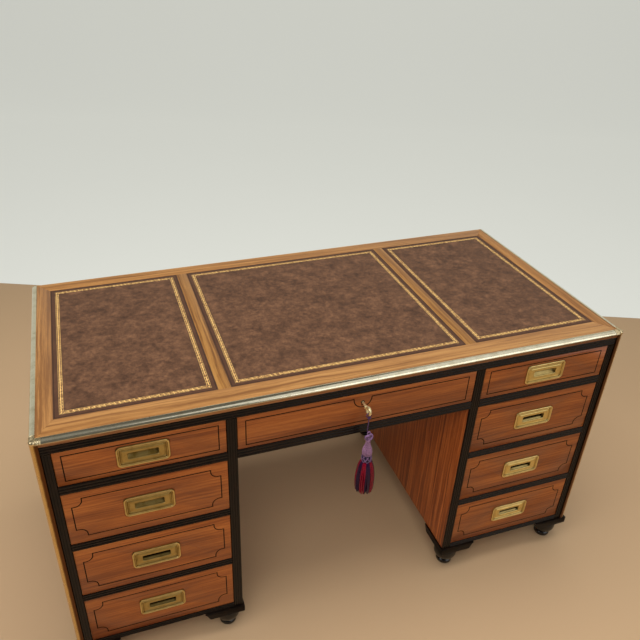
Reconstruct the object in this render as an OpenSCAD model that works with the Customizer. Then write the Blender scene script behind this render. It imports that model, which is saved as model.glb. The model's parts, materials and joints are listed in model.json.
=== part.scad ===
// Kneehole campaign desk: two pedestals of four drawers, a centre drawer and an inlaid top.
// Millimetres, +Z up, floor at z = 0, drawers face -Y, origin under the middle of desk and key.

/* [Overall] */
// Width over the brass corner posts
desk_w = 1460; // [1300:10:1800]
// Depth from the front brass to the back edge
desk_d = 675; // [600:5:800]
// Height of the writing surface above the floor
desk_h = 785; // [740:5:840]
// Width of the kneehole between the pedestals
kneehole_w = 606; // [500:2:640]

/* [Top] */
// Thickness of the core board whose edge shows below the brass
core_t = 10; // [6:1:20]
// Thickness of the border, crossbars and leather ground above the core
border_t = 8; // [6:0.5:12]
// Wooden border in front of the leathers
border_front_w = 50; // [30:1:80]
// Wooden border behind the leathers
border_back_w = 43; // [30:1:80]
// Wooden border at each end
border_end_w = 36; // [25:1:60]
// Width of the centre leather
centre_leather_w = 600; // [450:5:620]
// Width of each crossbar between two leathers
crossbar_w = 29; // [20:1:45]
// Thickness of the leathers
leather_t = 1.5; // [1:0.1:3]
// How far the leather lies below the wood beside it
leather_drop = 0.1; // [0.05:0.05:0.5]

/* [Brass edge and corners] */
// How far the brass edge reaches in over the top
edge_w = 13; // [10:1:16]
// How high the brass edge stands above the wooden border
edge_proud = 0.5; // [0.2:0.1:1.5]
// Length of each arm of a corner cap
cap_arm = 24; // [18:1:40]
// How much fuller a corner cap is than the edge it covers
cap_proud = 0.8; // [0.4:0.1:2]
// Radius of the round corner posts
post_r = 11; // [8:0.5:12]

/* [Black reeded frame] */
// Width of the black stile at the outer side of a pedestal
outer_stile_w = 19.5; // [14:0.5:30]
// Width of the black stile at the kneehole
inner_stile_w = 24; // [18:0.5:34]
// Strip of side panel left between the outer stile and its post
corner_strip_w = 6; // [5:0.5:12]
// Thickness of the black stiles and rails
frame_t = 6; // [5:0.5:8]
// Thickness of the rail under the top, which the lock bolt catches behind
top_rail_t = 14; // [12:0.5:16]
// Height of the rail under the top
top_rail_h = 22; // [18:0.5:30]
// Height of the rail under the upper row of drawers
frieze_rail_h = 25; // [20:0.5:32]
// Height of the rails between the deep drawers
drawer_rail_h = 22; // [18:0.5:30]
// Height of the rail at the foot of a pedestal
base_rail_h = 18; // [16:0.5:26]
// Setback of the black frame behind the front brass
frame_setback = 2.5; // [1:0.5:5]
// Height of each rounded reed
reed_rise = 1.4; // [0.8:0.1:2]
// Flat left between two reeds
reed_gap = 1; // [0.5:0.1:2]

/* [Carcass] */
// Glue line between two boards that meet
glue_line = 0.05; // [0.02:0.01:0.1]
// Thickness of the kneehole panels
kneehole_panel_t = 18; // [14:1:22]
// Thickness of the back panels
back_t = 12; // [8:1:18]
// Thickness of the dust boards under the drawers
dust_board_t = 12; // [8:1:16]
// Height of the guides beside the drawers
guide_h = 14; // [8:1:20]

/* [Plinth and feet] */
// Height of the corner brackets under the pedestals
bracket_h = 22; // [16:1:30]
// Length of a bracket along each face of its pedestal
bracket_l = 108; // [80:1:130]
// Thickness of a bracket
bracket_t = 20; // [14:1:26]
// How far the brackets stand out from the pedestal
bracket_proud = 4; // [2:0.5:8]
// Width of the glue block behind each bracket
block_w = 46; // [36:1:56]
// Height of a turned foot
foot_h = 73; // [60:1:90]
// Distance of a foot's centre from the faces of its pedestal
foot_inset = 36; // [34:1:44]
// Radius of the foot's full upper bulb
foot_bulb_r = 30; // [26:0.5:32]
// Radius of the foot's waist
foot_waist_r = 17; // [14:0.5:20]
// Radius of the bun that stands on the floor
foot_bun_r = 21; // [18:0.5:24]

/* [Drawers] */
// Height of the upper row of drawers
frieze_drawer_h = 95; // [85:1:110]
// Setback of the drawer faces behind the front brass
face_setback = 4.5; // [3:0.5:8]
// Thickness of the drawer fronts
front_t = 20; // [18:0.5:24]
// Gap round a drawer front
front_gap = 1; // [0.6:0.1:1.5]
// Thickness of the drawer sides and backs
side_t = 10; // [8:0.5:12]
// Thickness of the drawer bottoms
bottom_t = 6; // [4:0.5:8]
// How much lower the sides are than their front
side_drop = 14; // [10:1:24]
// Running gap under and beside a drawer box
run_gap = 0.4; // [0.3:0.1:0.8]
// Room left behind a closed drawer
back_room = 24; // [10:1:40]

/* [Pulls] */
// Width of a pull's plate
plate_w = 114; // [100:1:130]
// Height of a pull's plate
plate_h = 57; // [50:1:62]
// Radius of the plate's corners
plate_r = 7; // [4:0.5:9]
// Width of the plate's raised rim round the bail
rim_w = 8; // [6:0.5:10]
// How far the plate stands proud of the drawer
plate_proud = 1.2; // [0.8:0.1:2]
// How far the plate is let into the drawer
plate_inlay = 1.8; // [1.5:0.1:2.5]
// Height of the bead along the rim
bead_h = 1.2; // [0.6:0.1:2]
// Depth of the finger pocket behind the plate
pocket_d = 11; // [9:0.5:12]
// Wall of the brass pocket
pocket_wall = 1.2; // [0.8:0.1:1.6]
// Width of the finger slot in the bail
slot_w = 73; // [60:1:80]
// Height of the finger slot in the bail
slot_h = 16; // [14:0.5:20]
// Gap round the bail
bail_gap = 0.4; // [0.3:0.05:0.8]
// Radius of the bail's hinge pins
pin_r = 0.8; // [0.6:0.05:1]
// Length of a hinge pin beyond the bail
pin_l = 2.4; // [1.5:0.1:4]
// Running clearance of pins and the key in their bores
bore_clear = 0.06; // [0.02:0.01:0.1]
// Distance between the two fixing screws
screw_pitch = 84; // [78:1:88]
// Radius of the screw heads
screw_head_r = 3; // [2:0.1:3.5]
// Height of the screw heads
screw_head_h = 1.5; // [1:0.1:2]
// Radius of the screw shanks
screw_r = 1.4; // [1:0.1:1.8]
// Clearance of the shanks in their holes
screw_clear = 0.1; // [0.05:0.05:0.3]
// Gap under the screw heads
screw_seat = 0.05; // [0.02:0.01:0.2]
// Length of the screw shanks
screw_l = 5; // [3:0.5:5]

/* [Lock and key] */
// Distance of the keyhole below the drawer's top edge
keyhole_drop = 26; // [20:1:34]
// Distance of the key's end in front of the brass edge
key_reach = 43; // [38:1:50]
// Radius of the key's shank
key_r = 2.6; // [2:0.1:3]
// Mean radius of the ring of the key's bow
bow_r = 10.4; // [9:0.1:12]
// Radius of the wire of the bow
bow_wire_r = 2.5; // [2:0.1:3]
// Radius of the collar on the key's shank
key_collar_r = 4; // [3.4:0.1:5]
// Length of the collar on the key's shank
key_collar_l = 3; // [2:0.5:5]
// Reach of the key's bit from its axis
bit_reach = 8; // [6:0.5:9]
// Distance of the collar from the bow
key_collar_gap = 3; // [2:0.5:4]
// Thickness of the key's bit
bit_t = 2; // [1.5:0.1:3]
// Room round the key in the keyhole
key_room = 1.4; // [0.8:0.1:1.8]
// Wall of the keyhole's brass lining
lining_wall = 0.9; // [0.6:0.1:1]
// Depth of the keyhole's brass lining
lining_d = 4; // [3:0.5:6]
// Width of the lock
lock_w = 50; // [40:1:60]
// Height of the lock
lock_h = 44; // [40:1:50]
// Thickness of the lock
lock_t = 8.5; // [7.5:0.5:10]
// Clearance round the lock in its mortise
lock_gap = 0.3; // [0.2:0.1:0.6]
// Width of the bolt
bolt_w = 20; // [12:1:26]
// Thickness of the bolt
bolt_t = 3.5; // [3:0.1:4]
// Length of the bolt
bolt_l = 14; // [12:0.5:16]
// Travel of the bolt when the key turns
bolt_travel = 8; // [6:0.5:10]
// Running gap round the bolt
bolt_gap = 0.3; // [0.2:0.05:0.5]

/* [Tassel] */
// Radius of the tassel's skirt at its foot
skirt_r = 24; // [18:1:28]
// Radius of the skirt under its collar
skirt_top_r = 15; // [12:1:20]
// Height of the skirt
skirt_h = 94; // [70:1:110]
// Radius of the collar
tassel_collar_r = 14; // [12:0.5:18]
// Height of the collar
tassel_collar_h = 24; // [16:1:30]
// Radius of the pear-shaped head
head_r = 12; // [10:0.5:14]
// Radius of the head's neck
head_neck_r = 7; // [5:0.5:9]
// Height of the head
head_h = 50; // [36:1:56]
// Radius of the rosette above the head
rosette_r = 9; // [7:0.5:11]
// Height of the rosette
rosette_h = 20; // [14:1:24]
// Radius of the key's cord
cord_r = 1.3; // [1:0.1:1.6]
// Radius of the eye in which the cord goes round the bow
cord_eye_r = 3.6; // [3.5:0.1:4]
// Distance of the cord in front of the bow's middle
cord_out = 3; // [0:0.5:3]

/* [Hidden] */

SIDES = ["left", "right"];
ROWS = [1, 2, 3, 4];
deep_rows = 3;

// colours
honey = [0.71, 0.49, 0.29];
satinwood = [0.60, 0.33, 0.18];
ebonised = [0.09, 0.08, 0.07];
brass = [0.72, 0.60, 0.36];
leather = [0.40, 0.29, 0.23];
pine = [0.76, 0.62, 0.44];
steel = [0.45, 0.44, 0.42];
mauve = [0.52, 0.41, 0.52];
crimson = [0.45, 0.08, 0.18];

// front to back
front_y = key_reach - (desk_d + key_reach) / 2;
back_y = front_y + desk_d;
frame_y = front_y + frame_setback;
frame_back_y = frame_y + frame_t;
top_rail_back_y = frame_y + top_rail_t;
face_y = front_y + face_setback;
front_back_y = face_y + front_t;
case_back_y = back_y - back_t;
box_back_y = case_back_y - back_room;

// left to right
half_w = desk_w / 2;
knee_x = kneehole_w / 2;
side_panel_t = post_r + corner_strip_w;
case_outer_x = half_w - side_panel_t;
case_inner_x = knee_x + kneehole_panel_t;
open_inner_x = knee_x + inner_stile_w;
open_outer_x = case_outer_x - outer_stile_w;
row_x = (open_inner_x + open_outer_x) / 2;
row_w = open_outer_x - open_inner_x;

// bottom to top
top_t = core_t + border_t;
case_top_z = desk_h - top_t;
core_top_z = desk_h - border_t;
case_base_z = foot_h + bracket_h;
first_top_z = case_top_z - top_rail_h;
deep_h = (first_top_z - frieze_drawer_h - frieze_rail_h - (deep_rows - 1) * drawer_rail_h
    - base_rail_h - case_base_z) / deep_rows;
function row_h(n) = n == 1 ? frieze_drawer_h : deep_h;
function row_floor(n) = n == 1
    ? first_top_z - frieze_drawer_h
    : first_top_z - frieze_drawer_h - frieze_rail_h - (n - 1) * deep_h - (n - 2) * drawer_rail_h;
function row_rail_h(n) = n == 1 ? frieze_rail_h : n == deep_rows + 1 ? base_rail_h : drawer_rail_h;
function side_sign(side) = side == "left" ? -1 : 1;

// leathers
end_leather_outer_x = half_w - edge_w - border_end_w;
end_leather_inner_x = centre_leather_w / 2 + crossbar_w;
leather_front_y = front_y + edge_w + border_front_w;
leather_back_y = back_y - border_back_w;
leather_top_z = desk_h - leather_drop;
ground_top_z = leather_top_z - leather_t;

// pulls, about a pull's middle on the drawer face
bail_open_w = plate_w - 2 * rim_w;
bail_open_h = plate_h - 2 * rim_w;
bail_w = bail_open_w - 2 * bail_gap;
bail_h = bail_open_h - 2 * bail_gap;
bail_t = plate_proud + plate_inlay;
bail_axis_y = bail_t / 2 - plate_proud;
bail_axis_z = bail_h / 2 - bail_t / 2;
pocket_back_y = plate_inlay + pocket_d;
inlay_gap = 0.2;
corner_steps = 5;
pocket_r = 0.6;
bail_r = 2;

// lock and key
key_z = first_top_z - front_gap - keyhole_drop;
bow_y = front_y - key_reach + bow_wire_r + bow_r;
lock_front_y = front_back_y - lock_t;
lock_top_z = first_top_z - front_gap;
bolt_y = lock_front_y + lock_t / 2;
bolt_floor_z = lock_top_z - bolt_l;
bit_gap = 0.3;
bit_room = bit_reach + 3 * bit_gap;
cord_y = bow_y - cord_out;
hang_z = key_z - sqrt(bow_r * bow_r - cord_out * cord_out);
cord_top_z = hang_z - cord_eye_r - cord_r;
// stations of the cord below its eye, as sideways, outward and downward steps
CORD_ROUTE = [
    [0, 0, 0], [0.1, 0, 3], [0.3, 0.1, 6], [0.5, 0.2, 9], [0.6, 0.3, 12], [0.7, 0.4, 15],
    [0.7, 0.4, 18], [0.6, 0.4, 21], [0.4, 0.3, 24], [0.2, 0.2, 27], [0, 0.1, 30],
    [-0.1, 0, 33], [-0.2, 0, 36], [-0.2, 0, 39], [-0.1, 0, 42], [0, 0, 44.7]];
cord_sides = 8;

// how far a cutting shape runs past the face that it cuts
cut = 1;

// an axis-aligned board between two values on each axis
module board(x, y, z) {
    translate([x[0], y[0], z[0]]) cube([x[1] - x[0], y[1] - y[0], z[1] - z[0]]);
}

// a shape and its mirror image on the other side of the desk
module both_sides() {
    children();
    mirror([1, 0, 0]) children();
}

// a shape made for the right side, placed on the named side
module on_side(side) {
    if (side == "left") mirror([1, 0, 0]) children();
    else children();
}

// outline of a rectangle with round corners, centred
function round_rect(w, h, r) = [
    for (q = [0:3], k = [0:corner_steps])
        let (a = 90 * q + 90 * k / corner_steps,
             cx = (q == 0 || q == 3 ? 1 : -1) * (w / 2 - r),
             cy = (q < 2 ? 1 : -1) * (h / 2 - r))
        [cx + r * cos(a), cy + r * sin(a)]];

// a round-cornered plate standing in the XZ plane between two depths
module plate(w, h, r, y) {
    translate([0, y[1], 0]) rotate([90, 0, 0]) linear_extrude(y[1] - y[0])
        polygon(round_rect(w, h, r));
}

// quarter of an ellipse with its square corner at the origin
function quarter_ellipse(a, b, n = 9) =
    concat([[0, 0]], [for (k = [0:n]) [a * cos(90 * k / n), b * sin(90 * k / n)]]);

// outline of a strip with a row of rounded reeds along its face
reed_steps = 4;
function reeded(w, t, n) =
    let (pitch = w / n, chord = pitch - reed_gap)
    concat([[0, 0]],
        [for (i = [0:n - 1], k = [0:reed_steps])
            let (u = -cos(180 * k / reed_steps))
            [pitch * (i + 0.5) + u * chord / 2, t - reed_rise + reed_rise * sqrt(1 - u * u)]],
        [[w, 0]]);
wide_strip = 23;
function reed_count(w) = w > wide_strip ? 4 : 3;

// an upright reeded strip: u runs along X from x, the reeds face -Y
module stile_strip(x, w, z, t) {
    translate([x, frame_y + t, z[0]]) linear_extrude(z[1] - z[0])
        mirror([0, 1, 0]) polygon(reeded(w, t, reed_count(w)));
}

// a level reeded strip between two X values
module rail_strip(x, z, t) {
    translate([x[0], frame_y + t, z[0]]) rotate([90, 0, 90]) linear_extrude(x[1] - x[0])
        mirror([1, 0, 0]) rotate(90) mirror([0, 1, 0])
        polygon(reeded(z[1] - z[0], t, 3));
}

/* ---------- the top ---------- */

module top_core() {
    color(honey) difference() {
        union() {
            board([-half_w, half_w], [front_y + frame_setback, back_y], [case_top_z, core_top_z]);
            both_sides() board([end_leather_inner_x, end_leather_outer_x],
                [leather_front_y, leather_back_y], [case_top_z, ground_top_z]);
            board([-centre_leather_w / 2, centre_leather_w / 2],
                [leather_front_y, leather_back_y], [case_top_z, ground_top_z]);
        }
        both_sides() board([half_w - post_r, half_w + cut], [front_y - cut, front_y + post_r],
            [case_top_z - cut, core_top_z + cut]);
    }
}

// one border board from its four corners, outer edge first
module mitred(points) {
    translate([0, 0, core_top_z]) linear_extrude(border_t) polygon(points);
}

module top_border() {
    ox = half_w - edge_w;
    fy = front_y + edge_w;
    lx = ox - glue_line;
    mx = end_leather_outer_x - glue_line;
    color(honey) {
        mitred([[-lx, fy], [lx, fy], [mx, leather_front_y], [-mx, leather_front_y]]);
        mitred([[lx, back_y], [-lx, back_y], [-mx, leather_back_y], [mx, leather_back_y]]);
        both_sides() mitred([[ox, fy], [ox, back_y], [end_leather_outer_x, leather_back_y],
            [end_leather_outer_x, leather_front_y]]);
    }
}

module top_crossbars() {
    color(honey) both_sides() board([centre_leather_w / 2, end_leather_inner_x],
        [leather_front_y, leather_back_y], [core_top_z, desk_h]);
}

module end_leather(side) {
    color(leather) on_side(side) board([end_leather_inner_x, end_leather_outer_x],
        [leather_front_y, leather_back_y], [ground_top_z, leather_top_z]);
}

module leather_centre() {
    color(leather) board([-centre_leather_w / 2, centre_leather_w / 2],
        [leather_front_y, leather_back_y], [ground_top_z, leather_top_z]);
}

/* ---------- brass ---------- */

// the edge's section runs outwards from the wooden border and down to the core
module edge_section(grow = 0) {
    polygon(quarter_ellipse(edge_w + grow, border_t + edge_proud + grow));
}

module brass_edging() {
    color(brass) {
        translate([-half_w + cap_arm, front_y + edge_w, core_top_z]) rotate([90, 0, 90])
            linear_extrude(desk_w - 2 * cap_arm) mirror([1, 0, 0]) edge_section();
        both_sides() translate([half_w - edge_w, back_y, core_top_z]) rotate([90, 0, 0])
            linear_extrude(desk_d - cap_arm) edge_section();
    }
}

module brass_corner_caps() {
    arm = cap_arm - edge_w;
    color(brass) both_sides()
        translate([half_w - edge_w, front_y + edge_w, core_top_z]) {
            rotate([0, 0, -90]) rotate_extrude(angle = 90, $fn = 48) edge_section(cap_proud);
            translate([-arm, 0, 0]) rotate([90, 0, 90]) linear_extrude(arm)
                mirror([1, 0, 0]) edge_section(cap_proud);
            translate([0, arm, 0]) rotate([90, 0, 0]) linear_extrude(arm)
                edge_section(cap_proud);
        }
}

module brass_corner_posts() {
    color(brass) both_sides() intersection() {
        translate([half_w - post_r, front_y + post_r, case_base_z])
            cylinder(r = post_r, h = core_top_z - case_base_z, $fn = 64);
        board([half_w - post_r, half_w], [front_y, front_y + post_r], [case_base_z, core_top_z]);
    }
}

/* ---------- carcass ---------- */

module side_panel(side) {
    color(satinwood) on_side(side) difference() {
        board([case_outer_x, half_w], [face_y, case_back_y], [case_base_z, case_top_z]);
        board([half_w - post_r, half_w + cut], [front_y - cut, front_y + post_r],
            [case_base_z - cut, case_top_z + cut]);
    }
}

// a kneehole panel, cut back at its top behind the deeper rail
module kneehole_panel(side) {
    color(satinwood) on_side(side) difference() {
        board([knee_x, case_inner_x], [frame_back_y, case_back_y], [case_base_z, case_top_z]);
        board([knee_x - cut, case_inner_x + cut], [frame_back_y - cut, top_rail_back_y + glue_line],
            [first_top_z, case_top_z + cut]);
    }
}

module back_panels() {
    color(satinwood) {
        both_sides() board([knee_x, half_w], [case_back_y, back_y], [case_base_z, case_top_z]);
        board([-knee_x + glue_line, knee_x - glue_line], [case_back_y, back_y],
            [row_floor(1) - frieze_rail_h, case_top_z]);
    }
}

module case_bottoms() {
    color(pine) both_sides() board([case_inner_x, case_outer_x], [frame_back_y, case_back_y],
        [case_base_z, case_base_z + base_rail_h]);
}

// a guide strip beside the drawers of one row, glued on its dust board
module guide(x, n) {
    board(x, [front_back_y + run_gap, case_back_y],
        [row_floor(n) + glue_line, row_floor(n) + guide_h]);
}

module dust_boards() {
    color(pine) {
        both_sides() for (n = ROWS) {
            if (n <= deep_rows) board([case_inner_x, case_outer_x], [frame_back_y, case_back_y],
                [row_floor(n) - dust_board_t, row_floor(n)]);
            guide([case_inner_x, open_inner_x], n);
            guide([open_outer_x, case_outer_x], n);
        }
        board([-knee_x, knee_x], [frame_back_y, case_back_y],
            [row_floor(1) - dust_board_t, row_floor(1)]);
    }
}

module front_stiles() {
    color(ebonised) both_sides() {
        stile_strip(knee_x, inner_stile_w, [case_base_z, first_top_z], frame_t);
        stile_strip(open_outer_x, outer_stile_w, [case_base_z, first_top_z], frame_t);
    }
}

module front_rails() {
    color(ebonised) {
        rail_strip([-case_outer_x, case_outer_x], [first_top_z, case_top_z], top_rail_t);
        rail_strip([-knee_x, knee_x], [row_floor(1) - frieze_rail_h, row_floor(1)], frame_t);
        both_sides() for (n = ROWS)
            rail_strip([open_inner_x, open_outer_x], [row_floor(n) - row_rail_h(n), row_floor(n)],
                frame_t);
    }
}

/* ---------- plinth and feet ---------- */

// side view of a bracket, from the corner outwards, with a small ogee at its end
ogee_w = 16;
ogee_steps = 6;
function bracket_outline(l) = concat(
    [[0, 0], [l - ogee_w, 0]],
    [for (k = [1:ogee_steps - 1])
        let (s = k / ogee_steps)
        [l - ogee_w + ogee_w * s, bracket_h * (0.5 - 0.5 * cos(180 * s))]],
    [[l, bracket_h], [0, bracket_h]]);

// one corner: two bracket arms and a glue block, corner at the origin, arms along +X and +Y
module bracket_corner() {
    translate([0, bracket_t, foot_h]) rotate([90, 0, 0]) linear_extrude(bracket_t)
        polygon(bracket_outline(bracket_l));
    difference() {
        translate([0, 0, foot_h]) rotate([90, 0, 90]) linear_extrude(bracket_t)
            polygon(bracket_outline(bracket_l));
        board([-cut, bracket_t + cut], [-cut, bracket_t], [foot_h - cut, case_base_z + cut]);
    }
    board([bracket_t, bracket_t + block_w], [bracket_t, bracket_t + block_w],
        [foot_h, case_base_z]);
}

// places a corner piece at the four corners of both pedestals, flush at the back
module at_corners(proud) {
    both_sides() {
        translate([knee_x - proud, frame_y - proud, 0]) children();
        translate([half_w + proud, frame_y - proud, 0]) mirror([1, 0, 0]) children();
        translate([knee_x - proud, back_y, 0]) mirror([0, 1, 0]) children();
        translate([half_w + proud, back_y, 0]) rotate(180) children();
    }
}

module plinth_brackets() {
    color(ebonised) at_corners(bracket_proud) bracket_corner();
}

// half section of a turned foot: bun, waist, bulb and a flat top
bun_h = 18;
bun_round = 9;
bun_base = 5;
waist_h = 5;
waist_dip = 1.5;
bulb_round = 14;
flange_h = 6;
flange_in = 4;
arc_step = 15;
bulb_z = (bun_h + waist_h + foot_h - flange_h) / 2;
bulb_half_h = (foot_h - flange_h - bun_h - waist_h) / 2;
foot_outline = concat(
    [[0, 0], [foot_bun_r - bun_base, 0]],
    [for (a = [-60:arc_step:60])
        [foot_bun_r - bun_round + bun_round * cos(a), bun_h / 2 + bun_h / 2 * sin(a)]],
    [[foot_waist_r, bun_h + waist_dip], [foot_waist_r, bun_h + waist_h - waist_dip]],
    [for (a = [-75:arc_step:60])
        [foot_bulb_r - bulb_round + bulb_round * cos(a), bulb_z + bulb_half_h * sin(a)]],
    [[foot_bulb_r - flange_in, foot_h - flange_h], [foot_bulb_r - flange_in, foot_h],
        [0, foot_h]]);

module turned_feet() {
    color(ebonised) at_corners(0) translate([foot_inset, foot_inset, 0])
        rotate_extrude($fn = 64) polygon(foot_outline);
}

/* ---------- drawers ---------- */

// mortise for a pull, about the pull's middle
module pull_mortise() {
    plate(plate_w + inlay_gap, plate_h + inlay_gap, plate_r, [-cut, plate_inlay]);
    plate(bail_open_w + 2 * pocket_wall + inlay_gap, bail_open_h + 2 * pocket_wall + inlay_gap,
        pocket_r + pocket_wall, [-cut, pocket_back_y + inlay_gap / 2]);
    for (s = [-1, 1]) translate([s * screw_pitch / 2, pocket_back_y + screw_l, 0])
        rotate([90, 0, 0]) cylinder(r = screw_r + screw_clear, h = screw_l + cut, $fn = 24);
}

module drawer_front(side, n) {
    color(satinwood) on_side(side) difference() {
        board([open_inner_x + front_gap, open_outer_x - front_gap], [face_y, front_back_y],
            [row_floor(n) + front_gap, row_floor(n) + row_h(n) - front_gap]);
        translate([row_x, face_y, row_floor(n) + row_h(n) / 2]) pull_mortise();
    }
}

// sides, back and bottom of a drawer behind its front
module drawer_boards(x, n) {
    z0 = row_floor(n) + run_gap;
    z1 = row_floor(n) + row_h(n) - side_drop;
    xi = x[0] + run_gap;
    xo = x[1] - run_gap;
    inside = [xi + side_t + glue_line, xo - side_t - glue_line];
    board([xi, xi + side_t], [front_back_y, box_back_y], [z0, z1]);
    board([xo - side_t, xo], [front_back_y, box_back_y], [z0, z1]);
    board(inside, [box_back_y - side_t, box_back_y], [z0, z1]);
    board(inside, [front_back_y, box_back_y - side_t - glue_line], [z0, z0 + bottom_t]);
}

module drawer_box(side, n) {
    color(pine) on_side(side) drawer_boards([open_inner_x, open_outer_x], n);
}

// the keyhole's round head and the slot under it, between two depths
module keyhole(grow, y) {
    slot = bit_t / 2 + key_room / 2 + grow;
    key_bar(key_r + key_room + grow, y);
    board([-slot, slot], y, [key_z - bit_reach - key_room / 2 - grow, key_z]);
}

module drawer_front_centre() {
    color(satinwood) difference() {
        board([-knee_x + front_gap, knee_x - front_gap], [face_y, front_back_y],
            [row_floor(1) + front_gap, lock_top_z]);
        keyhole(lining_wall, [face_y - cut, face_y + lining_d]);
        keyhole(0, [face_y, front_back_y]);
        board([-lock_w / 2 - lock_gap, lock_w / 2 + lock_gap],
            [lock_front_y - lock_gap, front_back_y + cut],
            [lock_top_z - lock_h - lock_gap, lock_top_z + cut]);
    }
}

module drawer_box_centre() {
    color(pine) drawer_boards([-knee_x, knee_x], 1);
}

/* ---------- pulls ---------- */

module at_pull(side, n) {
    color(brass) on_side(side) translate([row_x, face_y, row_floor(n) + row_h(n) / 2]) children();
}

module pull_screw() {
    seat_y = pocket_back_y - pocket_wall - screw_seat;
    translate([0, seat_y, 0]) rotate([90, 0, 0])
        cylinder(r = screw_head_r, h = screw_head_h, $fn = 32);
    translate([0, seat_y + screw_l, 0]) rotate([90, 0, 0])
        cylinder(r = screw_r, h = screw_l + screw_head_h / 2, $fn = 24);
}

module pull_plate(side, n) {
    at_pull(side, n) {
        difference() {
            union() {
                plate(plate_w, plate_h, plate_r, [-plate_proud, plate_inlay]);
                difference() {
                    plate(plate_w, plate_h, plate_r, [-plate_proud - bead_h, 0]);
                    plate(bail_open_w + rim_w, bail_open_h + rim_w, plate_r - rim_w / 4,
                        [-plate_proud - bead_h - cut, 0]);
                }
                plate(bail_open_w + 2 * pocket_wall, bail_open_h + 2 * pocket_wall,
                    pocket_r + pocket_wall, [0, pocket_back_y]);
            }
            plate(bail_open_w, bail_open_h, pocket_r,
                [-plate_proud - cut, pocket_back_y - pocket_wall]);
            translate([-plate_w / 2, bail_axis_y, bail_axis_z]) rotate([0, 90, 0])
                translate([0, 0, (plate_w - bail_w) / 2 - pin_l - bail_gap])
                cylinder(r = pin_r + bore_clear, h = bail_w + 2 * pin_l + 2 * bail_gap, $fn = 24);
            for (s = [-1, 1]) translate([s * screw_pitch / 2, pocket_back_y + cut, 0])
                rotate([90, 0, 0])
                cylinder(r = screw_r + screw_clear, h = pocket_wall + 2 * cut, $fn = 24);
        }
        for (s = [-1, 1]) translate([s * screw_pitch / 2, 0, 0]) pull_screw();
    }
}

module pull_bail(side, n) {
    at_pull(side, n) union() {
        difference() {
            board([-bail_w / 2, bail_w / 2], [-plate_proud, plate_inlay],
                [-bail_h / 2, bail_axis_z]);
            plate(slot_w, slot_h, bail_r, [-plate_proud - cut, plate_inlay + cut]);
        }
        translate([-bail_w / 2, bail_axis_y, bail_axis_z]) rotate([0, 90, 0])
            cylinder(r = bail_t / 2, h = bail_w, $fn = 32);
        translate([-bail_w / 2 - pin_l, bail_axis_y, bail_axis_z]) rotate([0, 90, 0])
            cylinder(r = pin_r, h = bail_w + 2 * pin_l, $fn = 24);
    }
}

/* ---------- lock, key and tassel ---------- */

// a round bar along Y between two depths on the key's axis
module key_bar(r, y) {
    translate([0, y[1], key_z]) rotate([90, 0, 0]) cylinder(r = r, h = y[1] - y[0], $fn = 48);
}

module escutcheon() {
    color(brass) difference() {
        keyhole(lining_wall, [face_y, face_y + lining_d]);
        keyhole(0, [face_y - cut, face_y + lining_d + cut]);
    }
}

module lock_case() {
    color(steel) difference() {
        board([-lock_w / 2, lock_w / 2], [lock_front_y, front_back_y],
            [lock_top_z - lock_h, lock_top_z]);
        key_bar(key_r + bore_clear, [lock_front_y - cut, bolt_y]);
        key_bar(bit_room, [bolt_y - bolt_t / 2, bolt_y + bolt_t / 2]);
        board([-bolt_w / 2 - bolt_gap, bolt_w / 2 + bolt_gap],
            [bolt_y - bolt_t / 2 - bolt_gap, bolt_y + bolt_t / 2 + bolt_gap],
            [bolt_floor_z - bolt_gap, lock_top_z + cut]);
    }
}

module lock_bolt() {
    color(steel) board([-bolt_w / 2, bolt_w / 2], [bolt_y - bolt_t / 2, bolt_y + bolt_t / 2],
        [bolt_floor_z, lock_top_z]);
}

module key() {
    collar_y = bow_y + bow_r + key_collar_gap;
    color(brass) union() {
        key_bar(key_r, [bow_y + bow_r, bolt_y + bolt_t / 2 - bit_gap]);
        key_bar(key_collar_r, [collar_y, collar_y + key_collar_l]);
        board([-bit_t / 2, bit_t / 2],
            [bolt_y - bolt_t / 2 + bit_gap, bolt_y + bolt_t / 2 - bit_gap],
            [key_z - bit_reach, key_z]);
        translate([0, bow_y, key_z]) rotate([0, 90, 0])
            rotate_extrude($fn = 64) translate([bow_r, 0]) circle(r = bow_wire_r, $fn = 32);
    }
}

// unit vectors and rings for a tube along a list of points
function unit(v) = v / norm(v);
function tangent(p, i) = unit(p[min(i + 1, len(p) - 1)] - p[max(i - 1, 0)]);
function ring_points(p, i, r, n) =
    let (t = tangent(p, i), u = unit(cross(t, [0, 1, 0])), v = cross(t, u))
    [for (k = [0:n - 1]) p[i] + r * (u * cos(360 * k / n) + v * sin(360 * k / n))];
module tube(p, r, n) {
    rings = [for (i = [0:len(p) - 1], q = ring_points(p, i, r, n)) q];
    last = (len(p) - 1) * n;
    polyhedron(points = rings, faces = concat(
        [[for (k = [0:n - 1]) k]],
        [for (i = [0:len(p) - 2], k = [0:n - 1])
            [(i + 1) * n + k, (i + 1) * n + (k + 1) % n, i * n + (k + 1) % n, i * n + k]],
        [[for (k = [0:n - 1]) last + n - 1 - k]]));
}

// the cord below the bow, and the eye in which it goes round the bow's wire
module key_cord() {
    color(mauve) union() {
        tube([for (s = CORD_ROUTE) [s[0], cord_y - s[1], cord_top_z - s[2]]], cord_r, cord_sides);
        translate([0, cord_y + cord_r, hang_z]) rotate([90, 0, 0]) difference() {
            cylinder(r = cord_eye_r + 2 * cord_r, h = 2 * cord_r, $fn = 48);
            translate([0, 0, -cut]) cylinder(r = cord_eye_r, h = 2 * cord_r + 2 * cut, $fn = 48);
        }
    }
}

// half section of the tassel from its foot up
skirt_lip = 6;
skirt_belly = 0.4;
neck_share = 0.2;
collar_round = 3;
collar_z = skirt_h;
head_z = collar_z + tassel_collar_h;
rosette_z = head_z + head_h;
tassel_h = rosette_z + rosette_h;
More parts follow.
